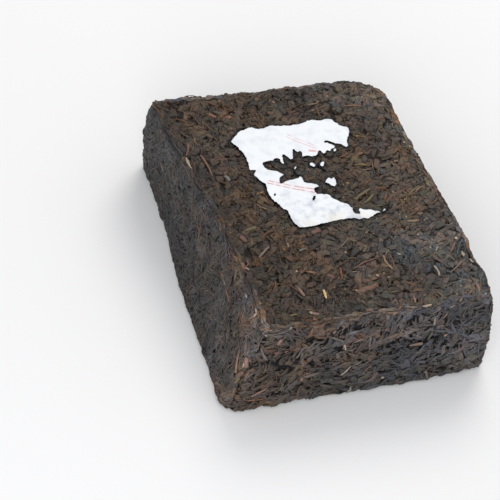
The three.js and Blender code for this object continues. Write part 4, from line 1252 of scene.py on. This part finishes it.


# grey is the painted shade of the paper's creases
paperColours = {"sheet": (245, 248, 251), "cream": (236, 226, 200), "grey": (196, 203, 216),
                "stain": (150, 138, 128), "red": (216, 96, 92)}
paperGrain = {   # each with the noise's waves to a metre and layers, or where it starts and ends, then shares
    "fibres": (2200, 4), "cloud": (160, 3), "shade": (190, 3),
    "creamed": (0.35, 0.65), "creamFrom": (-0.016, -0.006), "cream": 0.55,
    # painted shade: grey blotches for the creases, by this share everywhere and more towards the front
    "shaded": (0.42, 0.72), "paintedShadeFrom": (-0.004, 0.012), "paintedShade": (0.3, 0.5),
    "torn": (0.0, 0.5), "spots": (0.6, 0.8), "dirt": (0.16, 0.10),
    "rough": (0.7, 0.2), "height": 0.4, "specular": 0.25, "bump": (0.5, 0.00012),
    "worn": (420, 3), "wornOff": (0.3, 0.55), "soft": (0.6, 0.3),
}
# straight printed rules: start, end, half width, strength
printedRules = [
    ((-23.5, 12.4), (-4.0, 3.4), 0.45, 0.6), ((-24.3, 10.9), (-4.8, 1.9), 0.45, 0.6),
    ((-4.5, 39.5), (7.0, 30.0), 0.5, 0.3), ((-5.5, 38.2), (6.0, 28.7), 0.5, 0.3),
    ((1.6, 28.4), (7.2, 26.4), 0.8, 0.55),
]


def makePaperGroup():
    # paper: cream and stain patches over the sheet's colour, grey blotches of painted shade for its creases,
    # more towards the front, greyed at the tear, with a fine fibre relief
    group, given, result = newGroup("tornPaper", {"Place": "Vector", "Tear": 1.0})
    times, plus, less = arithmetic(group)
    place, hue = given.outputs["Place"], {key: linear(colour) for key, colour in paperColours.items()}
    fibres, cloud, shade = (noiseValue(group, place, *paperGrain[key]) for key in ("fibres", "cloud", "shade"))
    parts = addNode(group, "ShaderNodeSeparateXYZ")
    wire(group, (place, parts.inputs[0]))
    step = lambda value, key: ramp(group, value, *paperGrain[key])
    fade = lambda value, key: less(1.0, step(value, key))
    cream = times(times(fade(parts.outputs["Y"], "creamFrom"), step(cloud, "creamed")), paperGrain["cream"])
    colour = mixColour(group, cream, hue["sheet"], hue["cream"])
    # painted shade: grey for the creases, more towards the front
    shadeAll, paintedShade = paperGrain["paintedShade"]
    paintedShade = plus(shadeAll, times(paintedShade, fade(parts.outputs["Y"], "paintedShadeFrom")))
    colour = mixColour(group, times(step(shade, "shaded"), paintedShade), colour, hue["grey"])
    edgeDirt, spotDirt = paperGrain["dirt"]
    dirt = plus(times(fade(given.outputs["Tear"], "torn"), edgeDirt), times(step(cloud, "spots"), spotDirt))
    rough, fibreRough = paperGrain["rough"]
    wire(group, (mixColour(group, dirt, colour, hue["stain"]), result.inputs["Colour"]),
         (plus(times(fibres, fibreRough), rough), result.inputs["Roughness"]),
         (plus(times(fibres, paperGrain["height"]), cloud), result.inputs["Height"]))
    return group


def ruleMask(tree, place, rule):
    # 1 inside a straight rule, worn away by noise: distances along and across it from its start
    times, _, less = arithmetic(tree)
    start, end, half, strength = rule
    start, end = np.array([*start, 0]) + toOrigin, np.array([*end, 0]) + toOrigin
    along = end - start
    length = float(np.linalg.norm(along))
    heading = math.atan2(along[1], along[0])
    turned = addNode(tree, "ShaderNodeMapping", {"vector_type": "TEXTURE"},
                     {"Location": tuple(start * mm), "Rotation": (0, 0, heading), "Scale": (mm, mm, mm)})
    parts = addNode(tree, "ShaderNodeSeparateXYZ")
    wire(tree, (place, turned.inputs["Vector"]), (turned.outputs["Vector"], parts.inputs[0]))
    core, fade = paperGrain["soft"]
    far = math2(tree, "ABSOLUTE", parts.outputs["Y"])
    across = less(1.0, ramp(tree, far, half * core, half))
    started, ended = (ramp(tree, parts.outputs["X"], low, low + fade) for low in (0, length - fade))
    worn = ramp(tree, noiseValue(tree, place, *paperGrain["worn"]), *paperGrain["wornOff"])
    return times(times(times(across, times(started, less(1.0, ended))), worn), strength)


def paperMaterial(name, group, rules):
    # the paper group, fed by the distance to the tear, with the printed rules over its colour
    material, tree, paper, place, baseColour = surfaceMaterial(
        name, group, {}, paperGrain["specular"], paperGrain["bump"])
    tear = addNode(tree, "ShaderNodeAttribute", {"attribute_name": "tear"})
    parts = addNode(tree, "ShaderNodeSeparateXYZ")
    colour = paper.outputs["Colour"]
    for rule in rules:
        colour = mixColour(tree, ruleMask(tree, place, rule), colour, linear(paperColours["red"]))
    wire(tree, (tear.outputs["Vector"], parts.inputs[0]), (parts.outputs["X"], paper.inputs["Tear"]),
         (colour, baseColour))
    return material


studio = {
    "floor": (0.93, 0.93, 0.93), "floorRough": 0.9, "reach": 4,
    "world": (0.98, 0.985, 1.0), "worldStrength": 0.6,
    "lights": (   # name, place in metres, size, watts, colour
        ("key", (0.45, 0.75, 0.95), 0.7, 6.0, (1.0, 0.98, 0.96)),
        ("fill", (-0.6, -0.9, 0.5), 0.8, 7.0, (0.96, 0.98, 1.0)),
    ),
}
viewFrom = {   # millimetres in the block's frame, degrees
    "place": (-353.96, -591.36, 661.19), "heading": 28.690, "dive": 43.883, "roll": 13.751, "lens": 153.79,
}


def makeStudio():
    # a pale floor under an even sky, and round lamps that face the middle
    floorMaterial = bpy.data.materials.new("paleFloor")
    floorMaterial.use_nodes = True
    shader = floorMaterial.node_tree.nodes["Principled BSDF"]
    shader.inputs["Base Color"].default_value = (*studio["floor"], 1)
    shader.inputs["Roughness"].default_value = studio["floorRough"]
    mesh, reach = bpy.data.meshes.new("floor"), studio["reach"]
    mesh.from_pydata([(-reach, -reach, 0), (reach, -reach, 0), (reach, reach, 0), (-reach, reach, 0)], [],
                     [(0, 1, 2, 3)])
    mesh.materials.append(floorMaterial)
    floor = bpy.data.objects.new("floor", mesh)
    bpy.context.scene.collection.objects.link(floor)
    world = bpy.data.worlds.new("softStudio")
    world.use_nodes = True
    sky = world.node_tree.nodes["Background"]
    sky.inputs["Color"].default_value = (*studio["world"], 1)
    sky.inputs["Strength"].default_value = studio["worldStrength"]
    bpy.context.scene.world = world
    for name, place, size, watts, colour in studio["lights"]:
        light = bpy.data.lights.new(name, "AREA")
        light.shape = "DISK"
        light.size, light.energy, light.color = size, watts, colour
        lamp = bpy.data.objects.new(name, light)
        lamp.location = place
        lamp.rotation_euler = (-Vector(place)).to_track_quat("-Z", "Y").to_euler()
        bpy.context.scene.collection.objects.link(lamp)
    bpy.context.scene.view_settings.view_transform = "Standard"


def makeCamera():
    # looks along the heading, dips by the dive, then rolls about its own axis
    heading, dive, roll = (math.radians(viewFrom[key]) for key in ("heading", "dive", "roll"))
    forward = Vector((math.sin(heading) * math.cos(dive), math.cos(heading) * math.cos(dive), -math.sin(dive)))
    level = Vector((math.cos(heading), -math.sin(heading), 0))
    upright = level.cross(forward)
    right = level * math.cos(roll) + upright * math.sin(roll)
    up = right.cross(forward)
    camera = bpy.data.cameras.new("camera")
    camera.lens, camera.sensor_width, camera.sensor_fit = viewFrom["lens"], 36, "HORIZONTAL"
    camera.clip_start, camera.clip_end = 0.01, 20
    cameraObject = bpy.data.objects.new("camera", camera)
    turned = Matrix((right, up, -forward)).transposed().to_4x4()
    turned.translation = Vector((np.array(viewFrom["place"]) + toOrigin) * mm)
    cameraObject.matrix_world = turned
    bpy.context.scene.collection.objects.link(cameraObject)
    bpy.context.scene.camera = cameraObject


makeCamera()
makeStudio()
print("camera and studio set")
leafGroup = makeLeafGroup()
leafFinishes = {   # strength of the streaks, of the dust, specular level
    "pressedTeaCore": (0.5, 0.1, 0.12), "dryTeaLeaf": (1.6, 0.2, 0.38), "pressedTeaLeaf": (1.9, 0.15, 0.6),
    "teaStem": (1.8, 0.05, 0.4),
}
coreFinish, topFinish, wallFinish, stemFinish = (
    leafMaterial(name, leafGroup, *finish) for name, finish in leafFinishes.items())
makeCore(coreFinish)
makeTopLeaves(topFinish)
makeWallLeaves(wallFinish)
makeRimLeaves(topFinish)
makeBaseLeaves(wallFinish)
makeStandOut(stemFinish)
print("tea laid")
paperGroup = makePaperGroup()
ticketMaterial = paperMaterial("printedTicketPaper", paperGroup, printedRules)
scrapMaterial = paperMaterial("plainTicketPaper", paperGroup, ())
paperSheet("paperTicket", ticketOutline, paperLook["cell"], ticketMaterial, "paper_ticket")
for node, outline in scrapOutlines.items():
    paperSheet("paperScrap" + node[-1], outline, paperLook["scrapCell"], scrapMaterial, node)
for name, outline in specks.items():
    paperSheet(name, outline, paperLook["scrapCell"], scrapMaterial, None)
print("paper laid")
